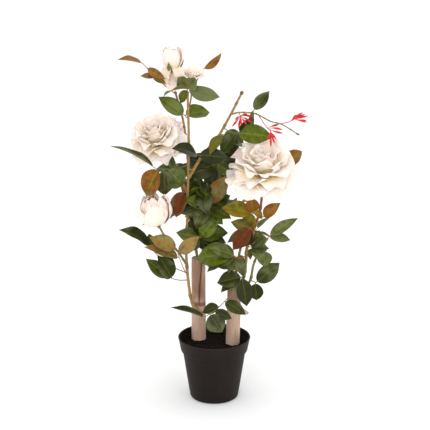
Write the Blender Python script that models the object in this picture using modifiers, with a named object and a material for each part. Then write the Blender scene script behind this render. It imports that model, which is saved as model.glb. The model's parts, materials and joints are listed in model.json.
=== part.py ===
"""Artificial rose bush in a round nursery pot.

Two sawn wooden stakes stand in the filled pot as its trunks. Moulded stems rise from them and
carry five white blooms, a twig of small red blossom and sprays of leaves. Sizes and places are
in millimetres, +X is to the right and -Y to the front, and the origin is the middle of the
pot's flat underside.
"""

import math
import random
from collections import namedtuple

import bmesh
import bpy
from mathutils import Matrix, Vector
from mathutils.bvhtree import BVHTree

MM = 0.001
CLEAR = 0.3
UP = Vector((0, 0, 1))
VIEWER = Vector((0, -0.85, 0.53))

# Pot and filling
RIM_WIDTH = 170.0
POT_HEIGHT = 150.0
BASE_WIDTH = 114.0
BAND_HEIGHT = 34.0
BAND_FOOT_WIDTH = 157.0
BAND_STEP = 4.2
WALL = 2.6
FLOOR = 3.0
FOOT_ROUND = 7.0
RIM_ROUND = 1.2
FILL_BELOW_RIM = 20.0
POT_STEPS = 32
GROUND = POT_HEIGHT - FILL_BELOW_RIM + CLEAR

# Trunks: foot, top, radius at each and the sides that each has
TRUNK_SIDES = 12
TRUNKS = {
    "trunk_left": ((-37, 39), (-37, 40, 331), 17.4, 16.6),
    "trunk_right": ((44, 10), (47, 11, 272), 17.0, 16.2),
}
TRUNK_RINGS = 4
STUB = ((50, 4, 222), (80, -2, 207), 5.2, 3.6)

# Stems: foot to tip, with the points that each bends through, and the radius at foot and tip.
# A stem with a parent starts on that stem or trunk top, at the height or share of length given.
Stem = namedtuple("Stem", "name parent start route foot_radius tip_radius")
BESIDE = None
STEMS = (
    Stem("stem_tall", BESIDE, None,
         ((-27.4, 20.1, 196), (-37, 17.6, 207), (-52, 16, 226), (-60, 13, 277), (-65, 12, 352),
          (-62, 6, 437),
          (-60, -2, 505), (-57, -12, 624), (-59, -14, 733)), 4.2, 2.7),
    Stem("stem_bud", "stem_tall", 540,
         ((-61, 24, 578), (-65, 52, 616), (-71, 54, 656), (-78, 30, 694), (-86, 6, 729),
          (-91, 2, 773)), 2.7, 2.3),
    Stem("stem_side_bloom", "stem_tall", 690, ((-52, 6, 716), (-48, 12, 757)), 2.1, 1.8),
    Stem("stem_left_rose", "stem_tall", 500, ((-80, 12, 534), (-112, 22, 566),
                                              (-126, 24, 594)), 3.0, 2.6),
    Stem("stem_right", "stem_tall", 534,
         ((-31, 10, 578), (-16, 12, 597), (10, 12, 630), (38, 10, 681), (60, 5, 726)), 4.0, 2.6),
    Stem("stem_twig", "stem_right", 680,
         ((58, 6, 685), (88, 2, 684), (104, 0, 678), (128, -4, 666), (152, -6, 660),
          (184, -10, 641)), 2.0, 1.3),
    Stem("stem_half_rose", "stem_tall", 322, ((-84, 2, 358), (-110, -18, 396),
                                              (-125, -34, 430)), 2.8, 2.3),
    Stem("stem_centre", "trunk_left", None, ((-26, 35), (-24, 26, 420), (-16, 20, 480),
                                             (-12, 26, 545)), 3.6, 2.6),
    Stem("stem_right_rose", "trunk_right", None,
         ((54, 6), (68, -6, 296), (73, -14, 340), (76, -17, 375), (92, -18, 420), (106, -12, 470),
          (110, 2, 524)),
         4.4, 3.0),
    Stem("stem_right_spray", BESIDE, None,
         ((65.9, 9, 262), (84, 4, 287), (91, 0, 326), (104, -5, 360), (122, -10, 392)), 3.4, 2.3),
    Stem("stem_back_left", "trunk_left", None, ((-40, 48), (-60, 66, 430), (-84, 88, 520),
                                                (-108, 100, 590)),
         3.4, 2.6),
    Stem("stem_back_right", "trunk_right", None, ((46, 19), (62, 52, 350), (88, 76, 440),
                                                  (104, 84, 520)), 3.6, 2.2),
)
STEM_SIDES = 8
FACET = 0.96
ROUTE_STEPS = 2

# Blooms: petals stand in rings round the bloom's axis. Start and end are a petal's angle from
# the axis at its foot and tip, rise is its foot's height and cup the radius it curves across.
# The heart, an egg of that radius, height and foot height, stands for the petals inside it.
# Sepals curl up round the bloom by that many radians, or fall where it is below zero.
Ring = namedtuple("Ring", "count length width start end rise cup roll ruffle turn")
Bloom = namedtuple("Bloom", "name stem lean fore heart rings size tall sepals curl seed")
OPEN_RINGS = (
    Ring(6, 82, 92, 74, 110, 3, 90, 3, 6.0, 0),
    Ring(5, 80, 88, 44, 66, 9, 56, 4, 6.0, 32),
)
HALF_OPEN_RINGS = (
    Ring(4, 106, 82, 88, -46, 0, 44, 0, 2.0, 15),
)
BUD_RINGS = (
    Ring(3, 60, 50, 80, -52, 4, 26, 0, 0.8, 20),
    Ring(3, 44, 38, 150, 184, 0, 24, 0, 1.5, 270),
)
SIDE_RINGS = (
    Ring(5, 46, 54, 84, 50, 0, 32, 0, 3.0, 15),
)
BLOOMS = (
    Bloom("rose_right", "stem_right_rose", 3, 22, (40, 71, 3), OPEN_RINGS, 1.04, 1, 0, 0, 3),
    Bloom("rose_left", "stem_left_rose", -8, 28, (40, 71, 3), OPEN_RINGS, 0.82, 1.12, 0, 0, 8),
    Bloom("rose_half_open", "stem_half_rose", -14, 16, (36, 72, 2), HALF_OPEN_RINGS, 0.8, 1.05, 4, -0.5, 5),
    Bloom("rose_back", "stem_back_left", -6, -30, (46, 71, 3), OPEN_RINGS[:1], 0.66, 1, 0, 0, 17),
    Bloom("bud_top", "stem_bud", -4, 4, (20, 44, 4), BUD_RINGS, 0.92, 1.12, 3, 1.25, 11),
    Bloom("bloom_side", "stem_side_bloom", 8, 12, (19, 30, 0), SIDE_RINGS, 0.64, 1, 0, 0, 13),
)
PETAL_FOOT = 4.0
PETAL_TWIST = 0.14
FOOT_STEP = 0.7
PETAL_THICK = 1.5
PETAL_ACROSS = (-1, -0.4, 0.4, 1)
PETAL_ALONG = (0, 0.58, 1)
PETAL_SIZES = (1, 0.92, 0.84, 0.76, 0.68)
EDGE_FALL = 0.3
CALYX_RADIUS = 6.0
SEPAL_LENGTH = 40.0
SEPAL_SHARE = 0.35

# Leaves. A spray has a stalk from its stem, and blades at its tip and in turn down from there.
# Lean is an angle to the right of upright as seen from the front, and fore is towards the front.
# A stalk is lean, fore, length and how far it bows down; a blade is lean, fore, length and roll,
# and where it isn't of the usual breadth, how many times that it has.
Spray = namedtuple("Spray", "name stem height stalk blades")
TIP = None
SPRAYS = (
    Spray("leaves_top", "stem_tall", TIP, (-6, 12, 15, 0),
          ((-47, 6, 31, 180, 1.7), (57, 6, 38, 180, 1.5), (105, 14, 84, 180, 0.8),
           (-72, 8, 81, 76, 0.8), (-146, -20, 42, 0),
           (5, 6, 48, 180, 1.1))),
    Spray("leaves_bud_stem", "stem_tall", 674, (-50, -30, 9, 0), ((-49, 10, 75, 0, 0.9),
                                                                  (76, -6, 69, 0, 1.15))),
    Spray("leaves_bronze_top", "stem_bud", 724, (-42, 24, 108, 4),
          ((-70, 5, 56, 66), (122, 10, 48, 30, 0.8), (131, -10, 44, 30, 0.8), (-79, 25, 32, 0, 0.8))),
    Spray("leaf_bronze_peak", "stem_side_bloom", 736, (31, -24, 48, 0), ((57, -8, 57, 58, 0.8),)),
    Spray("leaves_left", "stem_tall", 566, (-84, 38, 90, 5),
          ((-53, 0, 118, 76, 0.8), (212, 6, 84, 0, 1.1), (176, 0, 72, 0, 1.25),
           (141, -10, 74, 0, 1.2), (4, 10, 32, 0),
           (-113, -20, 52, 0))),
    Spray("leaf_rust_left", "stem_tall", 512, (-120, 30, 8, 0), ((204, 10, 66, 0, 1.1),)),
    Spray("leaves_cross", "stem_right", 584, (-60, 60, 22, 0),
          ((-50, 14, 74, 34), (87, 8, 74, 10), (100, -15, 63, 0, 1.2))),
    Spray("leaves_fork", "stem_right", 632, (70, 40, 6, 0),
          ((-130, 10, 62, 40), (112, -20, 74, 0, 1.2), (144, 6, 70, 0, 1.2))),
    Spray("leaves_above_right_rose", "stem_right", 648, (104, 20, 34, 4),
          ((50, 5, 52, 40, 1.2), (92, 8, 86, 0), (219, 18, 60, 0, 1.1))),
    Spray("leaves_centre_middle", "stem_centre", 455, (10, 50, 20, 0),
          ((36, 12, 85, 0), (-98, 10, 66, 0, 1.2), (-150, 25, 64, 0, 1.2), (108, 10, 68, 0, 1.2),
           (176, 15, 66, 0, 1.2),
           (60, -20, 66, 0, 1.2))),
    Spray("leaves_centre_top", "stem_centre", TIP, (40, 10, 26, 0),
          ((76, 5, 66, 0, 1.2), (146, 16, 70, 0, 1.2), (-108, 10, 68, 0, 1.2), (124, -30, 66, 0, 1.2),
           (-70, -30, 66, 0, 1.2), (176, 26, 68, 0, 1.2))),
    Spray("leaves_centre_upper", "stem_centre", 500, (-50, 40, 20, 0),
          ((-104, 5, 66, 0, 1.2), (168, 20, 68, 0, 1.2), (118, 15, 64, 0, 1.2), (-146, -15, 64, 0, 1.2),
           (70, -25, 62, 0, 1.2))),
    Spray("leaves_centre_low", "stem_centre", 396, (-127, 60, 19, 0),
          ((-67, 10, 58, 0, 1.2), (32, 20, 80, 0), (-132, 0, 55, 0, 1.2), (97, -10, 64, 0, 1.2),
           (75, -20, 70, 0, 1.2))),
    Spray("leaves_bright_low", "stem_right_rose", 352, (-74, 30, 30, 4),
          ((-89, 8, 95, 0, 1.25), (-104, 26, 70, 0, 1.1), (157, 10, 50, 0))),
    Spray("leaves_under_right_rose", "stem_right_rose", 474, (-129, 26, 23, 3),
          ((-70, 10, 75, 0, 1.15), (203, -18, 52, 0, 1.3), (-12, 0, 42, 0, 1.5))),
    Spray("leaf_bronze_right", "stem_right_rose", 458, (143, 20, 9, 0), ((36, 6, 54, 0, 1.15),
                                                                         (-40, -4, 40, 0))),
    Spray("leaves_rust_fold", "stem_right_rose", 408, (-12, 46, 26, 0),
          ((221, 14, 69, 0, 1.1), (-149, 8, 60, 0, 1.2), (-64, 0, 51, 0, 1.2))),
    Spray("leaves_right_stem", "stem_right_rose", 378, (124, -30, 11, 0),
          ((17, -10, 46, 0, 1.5), (127, -10, 44, 0, 1.3), (82, -24, 41, 0, 1.2))),
    Spray("leaves_right_end", "stem_right_spray", TIP, (30, 0, 7, 0), ((51, 2, 83, 0, 0.65),
                                                                       (93, 8, 54, 0, 0.9))),
    Spray("leaf_right_round", "stem_right_spray", 358, (62, 25, 8, 0), ((174, 30, 38, 0, 1.7),)),
    Spray("leaves_right_low", "stem_right_spray", 288, (110, 20, 11, 0), ((50, 4, 74, 0),
                                                                          (175, 12, 53, 0, 1.2))),
    Spray("leaves_trunk_right", "stem_right_rose", 306, (-120, 60, 8, 0),
          ((169, 20, 78, 0), (-100, 10, 62, 0, 1.2), (-116, -10, 70, 40))),
    Spray("leaves_low_front", "stem_right_rose", 300, (-129, 32, 131, 12),
          ((-65, 12, 80, 46), (147, 16, 58, 0, 1.6), (113, 6, 44, 0, 1.1), (-107, 0, 42, 0, 1.2),
           (109, 15, 62, 0))),
    Spray("leaves_bronze_trio", "stem_tall", 292, (-16, 30, 91, 6),
          ((-56, -12, 68, 20), (50, 2, 64, 30), (-60, 8, 92, 50))),
    Spray("leaves_left_low", "stem_tall", 284, (-71, 20, 50, 4),
          ((0, 5, 58, 0, 1.15), (-45, 8, 72, 0), (-20, 10, 76, 0))),
    Spray("leaf_left_narrow", "stem_tall", 300, (-53, 0, 105, 10), ((-36, 4, 88, 62),
                                                                    (-20, -20, 50, 0))),
    Spray("leaves_twig", "stem_twig", 0.3, (38, 50, 12, 0), ((39, 0, 58, 0), (187, 15, 38, 50))),
    Spray("leaf_behind_right_rose", "stem_back_right", TIP, (62, 20, 60, 0), ((56, 6, 68, 20),
                                                                              (0, 0, 56, 0))),
)
WIDTH_SHARE = 0.53
BLADE_STATIONS = ((0.0, 0.0), (0.3, 0.88), (0.68, 0.84))
BACK_STATIONS = ((0.0, 0.0), (0.42, 1.0))
BLADE_THICK = 1.3
FORE_SPREAD = (-16, 20)
BLADE_FOLD = 0.3
STALK_RADIUS = 1.5
STALK_TIP_RADIUS = 0.9
STALK_STEPS = 3
BLADE_SPACING = 0.13
TURNS = (0, 14, -14, 28, -28, 42, -42, 60, -60)

# Sprays round the back, by rule: the stem that carries each, its height and where it points,
# in degrees from the right round through the back, and upward
BACK_SPRAYS = (
    ("stem_back_left", 528, 92, 0),
    ("stem_back_left", 490, 50, 20),
    ("stem_back_left", 420, 100, 5),
    ("stem_back_right", 512, 70, 35),
    ("stem_back_right", 430, 130, 15),
    ("stem_back_right", 370, 62, 5),
    ("stem_centre", 438, 100, 15),
)
BACK_BLADES = 6
BACK_STALK = 84.0
BACK_LENGTH = 60.0
BACK_SPREAD = 62.0
BACK_SEED = 41

# Red blossom: small spindles that fan, over that angle, from thin stalks on the arching twig
Blossom = namedtuple("Blossom", "name stem height stalk spindles fan")
BLOSSOMS = (
    Blossom("blossom_red_inner", "stem_twig", 0.14, (154, 42, 9, 0), 8, 190),
    Blossom("blossom_red_middle", "stem_twig", 0.44, (140, 20, 40, 3), 7, 140),
    Blossom("blossom_red_outer", "stem_twig", 0.81, (68, 10, 30, 2), 6, 85),
)
SPINDLE_LENGTH = 25.0
SPINDLE_RADIUS = 2.2
SPINDLE_STATIONS = ((0.0, 0.5), (0.6, 1.0))
SPINDLE_SIDES = 3

MATERIALS = {
    "pot": ((0.035, 0.030, 0.028), 0.6),
    "filling": ((0.012, 0.010, 0.008), 0.95),
    "wood": ((0.50, 0.36, 0.28), 0.75),
    "stem": ((0.30, 0.20, 0.06), 0.6),
    "petals": ((0.92, 0.86, 0.80), 0.8),
    "leaves": ((0.07, 0.13, 0.025), 0.6),
    "bronze_leaves": ((0.33, 0.13, 0.03), 0.6),
    "blossom": ((0.65, 0.03, 0.04), 0.5),
}


def direction(lean, fore):
    """Unit vector that leans to the right by lean and comes forward by fore, in degrees."""
    lean, fore = math.radians(lean), math.radians(fore)
    return Vector((math.sin(lean) * math.cos(fore), -math.sin(fore), math.cos(lean) * math.cos(fore)))


def angles(way):
    """Lean and fore of a unit vector, the other way round from direction."""
    return math.degrees(math.atan2(way.x, way.z)), math.degrees(math.asin(-way.y))


def make_materials():
    for name, (colour, roughness) in MATERIALS.items():
        material = bpy.data.materials.new(name)
        material.use_nodes = True
        shader = material.node_tree.nodes["Principled BSDF"]
        shader.inputs["Base Color"].default_value = (*colour, 1)
        shader.inputs["Roughness"].default_value = roughness
        shader.inputs["Metallic"].default_value = 0


def new_object(name, mesh, slot, smooth=True):
    part = bpy.data.objects.new(name, mesh)
    bpy.data.collections["rose_bush"].objects.link(part)
    mesh.materials.clear()
    mesh.materials.append(bpy.data.materials[slot])
    if smooth:
        mesh.shade_smooth()
        mesh.set_sharp_from_angle(angle=math.radians(40))
    return part


def mesh_of(solid, name):
    """A mesh in metres from a bmesh in millimetres, which is freed."""
    bmesh.ops.scale(solid, vec=(MM, MM, MM), verts=solid.verts)
    mesh = bpy.data.meshes.new(name)
    solid.to_mesh(mesh)
    solid.free()
    return mesh


def arc(centre, radius, first, last, steps):
    """Points of an arc in a profile, with angles in degrees."""
    points = []
    for step in range(steps + 1):
        angle = math.radians(first + (last - first) * step / steps)
        points.append((centre[0] + radius * math.cos(angle), centre[1] + radius * math.sin(angle)))
    return points


def turned(name, profile, slot):
    """A solid turned from a profile of radius and height that starts and ends on the axis."""
    solid = bmesh.new()
    corners = [solid.verts.new((radius, 0, height)) for radius, height in profile]
    for low, high in zip(corners, corners[1:]):
        solid.edges.new((low, high))
    part = new_object(name, mesh_of(solid, name), slot, smooth=False)
    screw = part.modifiers.new("turn", "SCREW")
    screw.steps = screw.render_steps = POT_STEPS
    screw.use_merge_vertices = True
    screw.merge_threshold = 0.00001
    screw.use_smooth_shade = False
    return part


def wall_radius(height, inset):
    """Outer radius of the pot at a height, less the inset."""
    band_foot = POT_HEIGHT - BAND_HEIGHT
    if height >= band_foot:
        share = (height - band_foot) / BAND_HEIGHT
        return (BAND_FOOT_WIDTH + (RIM_WIDTH - BAND_FOOT_WIDTH) * share) / 2 - inset
    share = height / band_foot
    return (BASE_WIDTH + (BAND_FOOT_WIDTH - 2 * BAND_STEP - BASE_WIDTH) * share) / 2 - inset


def make_pot():
    band_foot = POT_HEIGHT - BAND_HEIGHT
    body_top = band_foot - 1
    profile = [(0, FLOOR), (wall_radius(FLOOR, WALL) - 2, FLOOR), (wall_radius(FLOOR + 2, WALL), FLOOR + 2)]
    profile += [(wall_radius(body_top, WALL), body_top + 2),
                (wall_radius(band_foot + 4, WALL), band_foot + 6)]
    profile += [(wall_radius(POT_HEIGHT, WALL), POT_HEIGHT - RIM_ROUND),
                (wall_radius(POT_HEIGHT, WALL - RIM_ROUND), POT_HEIGHT)]
    profile += arc((RIM_WIDTH / 2 - RIM_ROUND, POT_HEIGHT - RIM_ROUND), RIM_ROUND, 90, 0, 2)
    profile += [(wall_radius(band_foot + 2.5, 0), band_foot + 2.5), (wall_radius(band_foot, 2), band_foot)]
    profile += [(wall_radius(body_top, 0), body_top)]
    foot = BASE_WIDTH / 2 + 0.6
    profile += arc((foot - FOOT_ROUND, FOOT_ROUND), FOOT_ROUND, 0, -90, 4)
    profile += [(0, 0)]
    turned("pot", profile, "pot")


def make_filling():
    band_foot = POT_HEIGHT - BAND_HEIGHT
    body_top = band_foot - 1
    top = POT_HEIGHT - FILL_BELOW_RIM
    gap = WALL + CLEAR
    profile = [(0, top), (wall_radius(top, gap), top), (wall_radius(band_foot + 4, gap), band_foot + 6.5)]
    profile += [(wall_radius(body_top, gap), body_top + 2), (wall_radius(FLOOR + 2, gap), FLOOR + 2)]
    profile += [(wall_radius(FLOOR, gap) - 2, FLOOR + CLEAR), (0, FLOOR + CLEAR)]
    turned("filling", profile, "filling")


def smooth_route(points, steps):
    """Points of a smooth curve that passes through all the given ones."""
    points = [Vector(point) for point in points]
    ends = [2 * points[0] - points[1], *points, 2 * points[-1] - points[-2]]
    route = [points[0]]
    for before, start, end, after in zip(ends, ends[1:], ends[2:], ends[3:]):
        for step in range(1, steps + 1):
            t = step / steps
            bend = 2 * before - 5 * start + 4 * end - after
            twist = 3 * start - before - 3 * end + after
            route.append(0.5 * (2 * start + (end - before) * t + bend * t * t + twist * t * t * t))
    return route


class Limb:
    """A tapering limb along a smooth route, in millimetres."""

    def __init__(self, route, foot_radius, tip_radius):
        self.route = route
        last = len(route) - 1
        self.radii = [foot_radius + (tip_radius - foot_radius) * step / last for step in range(last + 1)]

    def at(self, where):
        """Place, way and radius at a height, or at a share of the limb's stretches under one."""
        if where < 1:
            index = int(where * (len(self.route) - 1))
            share = where * (len(self.route) - 1) - index
            return self.between(index, share)
        for index in range(len(self.route) - 1):
            low, high = self.route[index].z, self.route[index + 1].z
            if low <= where <= high:
                return self.between(index, (where - low) / (high - low))
        raise ValueError(f"no point of the limb is at {where}")

    def between(self, index, share):
        low, high = self.route[index], self.route[index + 1]
        return low.lerp(high, share), (high - low).normalized(), self.radii[index]

    def tip(self):
        return self.route[-1], (self.route[-1] - self.route[-2]).normalized(), self.radii[-1]

    def beside(self, where, way, radius):
        """Where a thinner limb that leaves this one has its foot, clear of the surface."""
        place, along, own = self.at(where)
        slant = abs(way.dot(along))
        return place + way * (own * FACET + CLEAR + radius * slant) / math.sqrt(1 - slant * slant)

    def beyond(self, way, radius):
        """Where a limb that goes on from this one's tip has its foot."""
        tip, along, _ = self.tip()
        return tip + along * (CLEAR + radius * math.sqrt(max(0, 1 - way.dot(along) ** 2)))


def tube(limb, sides):
    """The limb's solid, from a bevelled curve whose caps are welded."""
    curve = bpy.data.curves.new("limb", "CURVE")
    curve.dimensions = "3D"
    curve.bevel_depth = MM
    curve.bevel_resolution = sides // 2 - 2
    curve.use_fill_caps = True
    spline = curve.splines.new("POLY")
    spline.points.add(len(limb.route) - 1)
    for point, place, radius in zip(spline.points, limb.route, limb.radii):
        point.co = (*(place * MM), 1)
        point.radius = radius
    holder = bpy.data.objects.new("limb", curve)
    bpy.context.scene.collection.objects.link(holder)
    mesh = bpy.data.meshes.new_from_object(holder.evaluated_get(bpy.context.evaluated_depsgraph_get()))
    solid = bmesh.new()
    solid.from_mesh(mesh)
    bmesh.ops.remove_doubles(solid, verts=solid.verts, dist=MM * 0.01)
    bmesh.ops.scale(solid, vec=(1 / MM, 1 / MM, 1 / MM), verts=solid.verts)
    bpy.data.objects.remove(holder)
    bpy.data.curves.remove(curve)
    bpy.data.meshes.remove(mesh)
    return solid


def loft(rings, point=None):
    """A closed solid through rings of equal count, ending in a point or a flat cap."""
    solid = bmesh.new()
    rows = [[solid.verts.new(place) for place in ring] for ring in rings]
    count = len(rows[0])
    for low, high in zip(rows, rows[1:]):
        for side in range(count):
            after = (side + 1) % count
            solid.faces.new((low[side], low[after], high[after], high[side]))
    solid.faces.new(list(reversed(rows[0])))
    if point is None:
        solid.faces.new(rows[-1])
    else:
        end = solid.verts.new(point)
        for side in range(count):
            solid.faces.new((rows[-1][side], rows[-1][(side + 1) % count], end))
    bmesh.ops.recalc_face_normals(solid, faces=solid.faces)
    bmesh.ops.triangulate(solid, faces=solid.faces)
    return solid


def join(name, solids, slot):
    """One closed body from overlapping solids, as an object of that name."""
    cutters = bpy.data.collections.new(f"{name}_pieces")
    bpy.context.scene.collection.children.link(cutters)
    base = bpy.data.objects.new(f"{name}_base", mesh_of(solids[0], name))
    bpy.context.scene.collection.objects.link(base)
    for solid in solids[1:]:
        cutters.objects.link(bpy.data.objects.new(f"{name}_piece", mesh_of(solid, name)))
    if len(solids) > 1:
        union = base.modifiers.new("join", "BOOLEAN")
        union.operation = "UNION"
        union.operand_type = "COLLECTION"
        union.collection = cutters
        union.solver = "MANIFOLD"
    mesh = bpy.data.meshes.new_from_object(base.evaluated_get(bpy.context.evaluated_depsgraph_get()))
    for piece in list(cutters.objects):
        bpy.data.objects.remove(piece)
    bpy.data.objects.remove(base)
    bpy.data.collections.remove(cutters)
    keep_outer_shell(mesh)
    return new_object(name, mesh, slot)


def keep_outer_shell(mesh):
    """Drops loose scraps and fills hollows: only the largest shell stays."""
    solid = bmesh.new()
    solid.from_mesh(mesh)
    bmesh.ops.triangulate(solid, faces=solid.faces)
    bmesh.ops.dissolve_degenerate(solid, edges=solid.edges, dist=MM * 0.002)
    left = set(solid.verts)
    shells = []
    while left:
        shell, front = set(), [left.pop()]
        while front:
            vert = front.pop()
            shell.add(vert)
            for edge in vert.link_edges:
                other = edge.other_vert(vert)
                if other in left:
                    left.remove(other)
                    front.append(other)
        shells.append(shell)
    largest = max(shells, key=len)
    bmesh.ops.delete(solid, geom=[vert for vert in solid.verts if vert not in largest], context="VERTS")
    solid.to_mesh(mesh)
    solid.free()


class Space:
    """The solids placed so far, which a new one has to miss."""

    def __init__(self):
        self.trees = {}

    def add(self, name, solid):
        self.trees.setdefault(name, []).append(BVHTree.FromBMesh(solid))

    def place(self, name, solids):
        """Adds a part's solids, and tells of any that meet another part."""
        for solid in solids:
            hit = self.clashes(solid, name)
            if hit:
                print("clash", name, hit)
        for solid in solids:
            self.add(name, solid)

    def clashes(self, solid, own):
        tree = BVHTree.FromBMesh(solid)
        return sorted({name for name, trees in self.trees.items() if name != own
                       for other in trees if tree.overlap(other)})


def make_trunks(space):
    for name, (foot, top, foot_radius, top_radius) in TRUNKS.items():
        rings = []
        for row in range(TRUNK_RINGS + 1):
            share = row / TRUNK_RINGS
            radius = foot_radius + (top_radius - foot_radius) * share
            centre = Vector((*foot, GROUND)).lerp(Vector(top), share)
            turns = [2 * math.pi * side / TRUNK_SIDES for side in range(TRUNK_SIDES)]
            rings.append([centre + radius * Vector((math.cos(turn), math.sin(turn), 0)) for turn in turns])
        solids = [loft(rings)]
        if name == "trunk_right":
            start, end, start_radius, end_radius = STUB
            solids.append(tube(Limb([Vector(start), Vector(end)], start_radius, end_radius), 8))
        for solid in solids:
            space.add(name, solid)
        join(name, solids, "wood")


def stem_points(stem, limbs):
    """The stem's route with its foot clear of the stem or of the trunk top that it starts on."""
    if stem.parent in TRUNKS:
        (across, back), *rest = stem.route
        top = TRUNKS[stem.parent][1][2] + CLEAR
        way = (Vector(rest[0]) - Vector((across, back, top))).normalized()
        lift = stem.foot_radius * math.sqrt(1 - way.z * way.z) * 1.1
        return [Vector((across, back, top + lift)), *(Vector(point) for point in rest)]
    points = [Vector(point) for point in stem.route]
    if stem.parent:
        parent = limbs[stem.parent]
        way = (points[0] - parent.at(stem.start)[0]).normalized()
        points.insert(0, parent.beside(stem.start, way, stem.foot_radius))
    return points


def make_stems(space):
    limbs = {}
    for stem in STEMS:
        limb = Limb(smooth_route(stem_points(stem, limbs), ROUTE_STEPS), stem.foot_radius, stem.tip_radius)
        solid = tube(limb, STEM_SIDES)
        bmesh.ops.triangulate(solid, faces=solid.faces)
        space.place(stem.name, [solid])
        new_object(stem.name, mesh_of(solid, stem.name), "stem")
        limbs[stem.name] = limb
    return limbs


def petal_point(ring, across, along, wave):
    """A petal's point, in a frame whose Z is the bloom's axis and whose X is the petal's middle."""
    start, end = math.radians(ring.start), math.radians(ring.end)
    reach = along * (1 - EDGE_FALL * abs(across) ** 2.6)
    angle = start + (end - start) * reach
    bend_radius = ring.length / (end - start)
    out = PETAL_FOOT + bend_radius * (math.cos(start) - math.cos(angle))
    high = ring.rise + bend_radius * (math.sin(angle) - math.sin(start))
    half = ring.width / 2 * (0.28 + 0.72 * math.sin(math.pi / 2 * min(1, along / 0.7)))
    turn = half * across / ring.cup
    lift = ring.cup * (1 - math.cos(turn))
    lift += ring.ruffle * along ** 3 * math.sin(2.3 * math.pi * across + wave)
    lift -= ring.roll * max(0, reach - 0.6) ** 2 * 6
    lift += PETAL_TWIST * half * across * along
    return Vector((out - math.cos(angle) * lift, ring.cup * math.sin(turn), high + math.sin(angle) * lift))


def petal(ring, place, wave):
    """A thin lens of a petal on a coarse grid, put in place by a matrix."""
    solid = bmesh.new()
    last_row, last_column = len(PETAL_ALONG) - 1, len(PETAL_ACROSS) - 1
    sides = {1: {}, -1: {}}
    for row, along in enumerate(PETAL_ALONG):
        for column, across in enumerate(PETAL_ACROSS):
            middle = petal_point(ring, across, along, wave)
            if row in (0, last_row) or column in (0, last_column):
                sides[1][row, column] = sides[-1][row, column] = solid.verts.new(place @ middle)
                continue
            step = 0.01
            tangent = petal_point(ring, across, along + step, wave) - middle
            sideways = petal_point(ring, across + step, along, wave) - middle
            normal = tangent.cross(sideways).normalized() * PETAL_THICK / 2
            for sign, verts in sides.items():
                verts[row, column] = solid.verts.new(place @ (middle + sign * normal))
    for verts in sides.values():
        for row in range(last_row):
            for column in range(last_column):
                corners = [(row, column), (row, column + 1), (row + 1, column + 1), (row + 1, column)]
                if {(row, column), (last_row - 1 - row, last_column - 1 - column)} & {(0, last_column - 1)}:
                    corners = corners[1:] + corners[:1]
                corners = [verts[corner] for corner in corners]
                solid.faces.new(corners[:3])
                solid.faces.new((corners[0], corners[2], corners[3]))
    bmesh.ops.recalc_face_normals(solid, faces=solid.faces)
    return solid


def egg(place, radius, height, base):
    """The closed heart of a bloom."""
    solid = bmesh.new()
    bmesh.ops.create_uvsphere(solid, u_segments=8, v_segments=5, radius=1)
    shape = Matrix.Translation((0, 0, base + height / 2)) @ Matrix.Diagonal((radius, radius, height / 2, 1))
    bmesh.ops.transform(solid, matrix=place @ shape, verts=solid.verts)
    bmesh.ops.triangulate(solid, faces=solid.faces)
    return solid


def axis_frame(origin, way):
    """A frame at a place whose Z runs along a way and whose X keeps to the right."""
    side = (Vector((1, 0, 0)) - way * way.x).normalized()
    frame = Matrix((side, way.cross(side), way)).transposed().to_4x4()
    frame.translation = origin
    return frame


def bloom_frame(bloom, limbs):
    """The frame of a bloom whose calyx sits clear on its stem's tip."""
    tip, way, _ = limbs[bloom.stem].tip()
    return axis_frame(tip + way * (CALYX_RADIUS + CLEAR), direction(bloom.lean, bloom.fore))


def bloom_scale(bloom):
    return Matrix.Diagonal((bloom.size, bloom.size, bloom.size * bloom.tall, 1))


def petals_of(bloom, limbs):
    """Each petal's frame, ring values and wave, ring by ring."""
    rng = random.Random(bloom.seed)
    frame = bloom_frame(bloom, limbs) @ bloom_scale(bloom)
    for ring in bloom.rings:
        for number in range(ring.count):
            angle = ring.turn + 360 / ring.count * number + rng.uniform(-7, 7)
            length = ring.length * rng.uniform(0.93, 1.05)
            own = ring._replace(length=length, end=ring.end + rng.uniform(-6, 6),
                                rise=ring.rise + number * FOOT_STEP)
            yield frame @ Matrix.Rotation(math.radians(angle), 4, "Z"), own, rng.uniform(0, 2 * math.pi)


def make_blooms(space, limbs):
    """Each bloom. A petal that meets another part is made smaller until it is clear."""
    for bloom in BLOOMS:
        rng = random.Random(bloom.seed)
        frame = bloom_frame(bloom, limbs)
        origin = frame.translation
        calyx = bmesh.new()
        bmesh.ops.create_uvsphere(calyx, u_segments=6, v_segments=4, radius=CALYX_RADIUS)
        bmesh.ops.translate(calyx, vec=origin, verts=calyx.verts)
        bmesh.ops.triangulate(calyx, faces=calyx.faces)
        solids = [egg(frame @ bloom_scale(bloom), *bloom.heart), calyx]
        for place, ring, wave in petals_of(bloom, limbs):
            for size in PETAL_SIZES:
                solid = petal(ring, place @ Matrix.Scale(size, 4), wave)
                if not space.clashes(solid, bloom.name):
                    solids.append(solid)
                    break
                solid.free()
            else:
                print("left out a petal of", bloom.name)
        for number in range(bloom.sepals):
            angle = 360 / bloom.sepals * number + rng.uniform(-15, 15)
            way, face = sepal_pose(frame, angle, bloom.curl)
            solids.append(blade(origin, way, face, SEPAL_LENGTH, SEPAL_SHARE, abs(bloom.curl)))
        space.place(bloom.name, solids)
        join(bloom.name, solids, "petals")


def sepal_pose(frame, angle, curl):
    """Way and face of a sepal, which starts flatter where it curls up."""
    turn = frame.to_3x3() @ Matrix.Rotation(math.radians(angle), 3, "Z")
    way = turn @ direction(80 if curl > 0 else 60, 0)
    return way, face_towards(way, UP, 180 if curl > 0 else 0)


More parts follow.
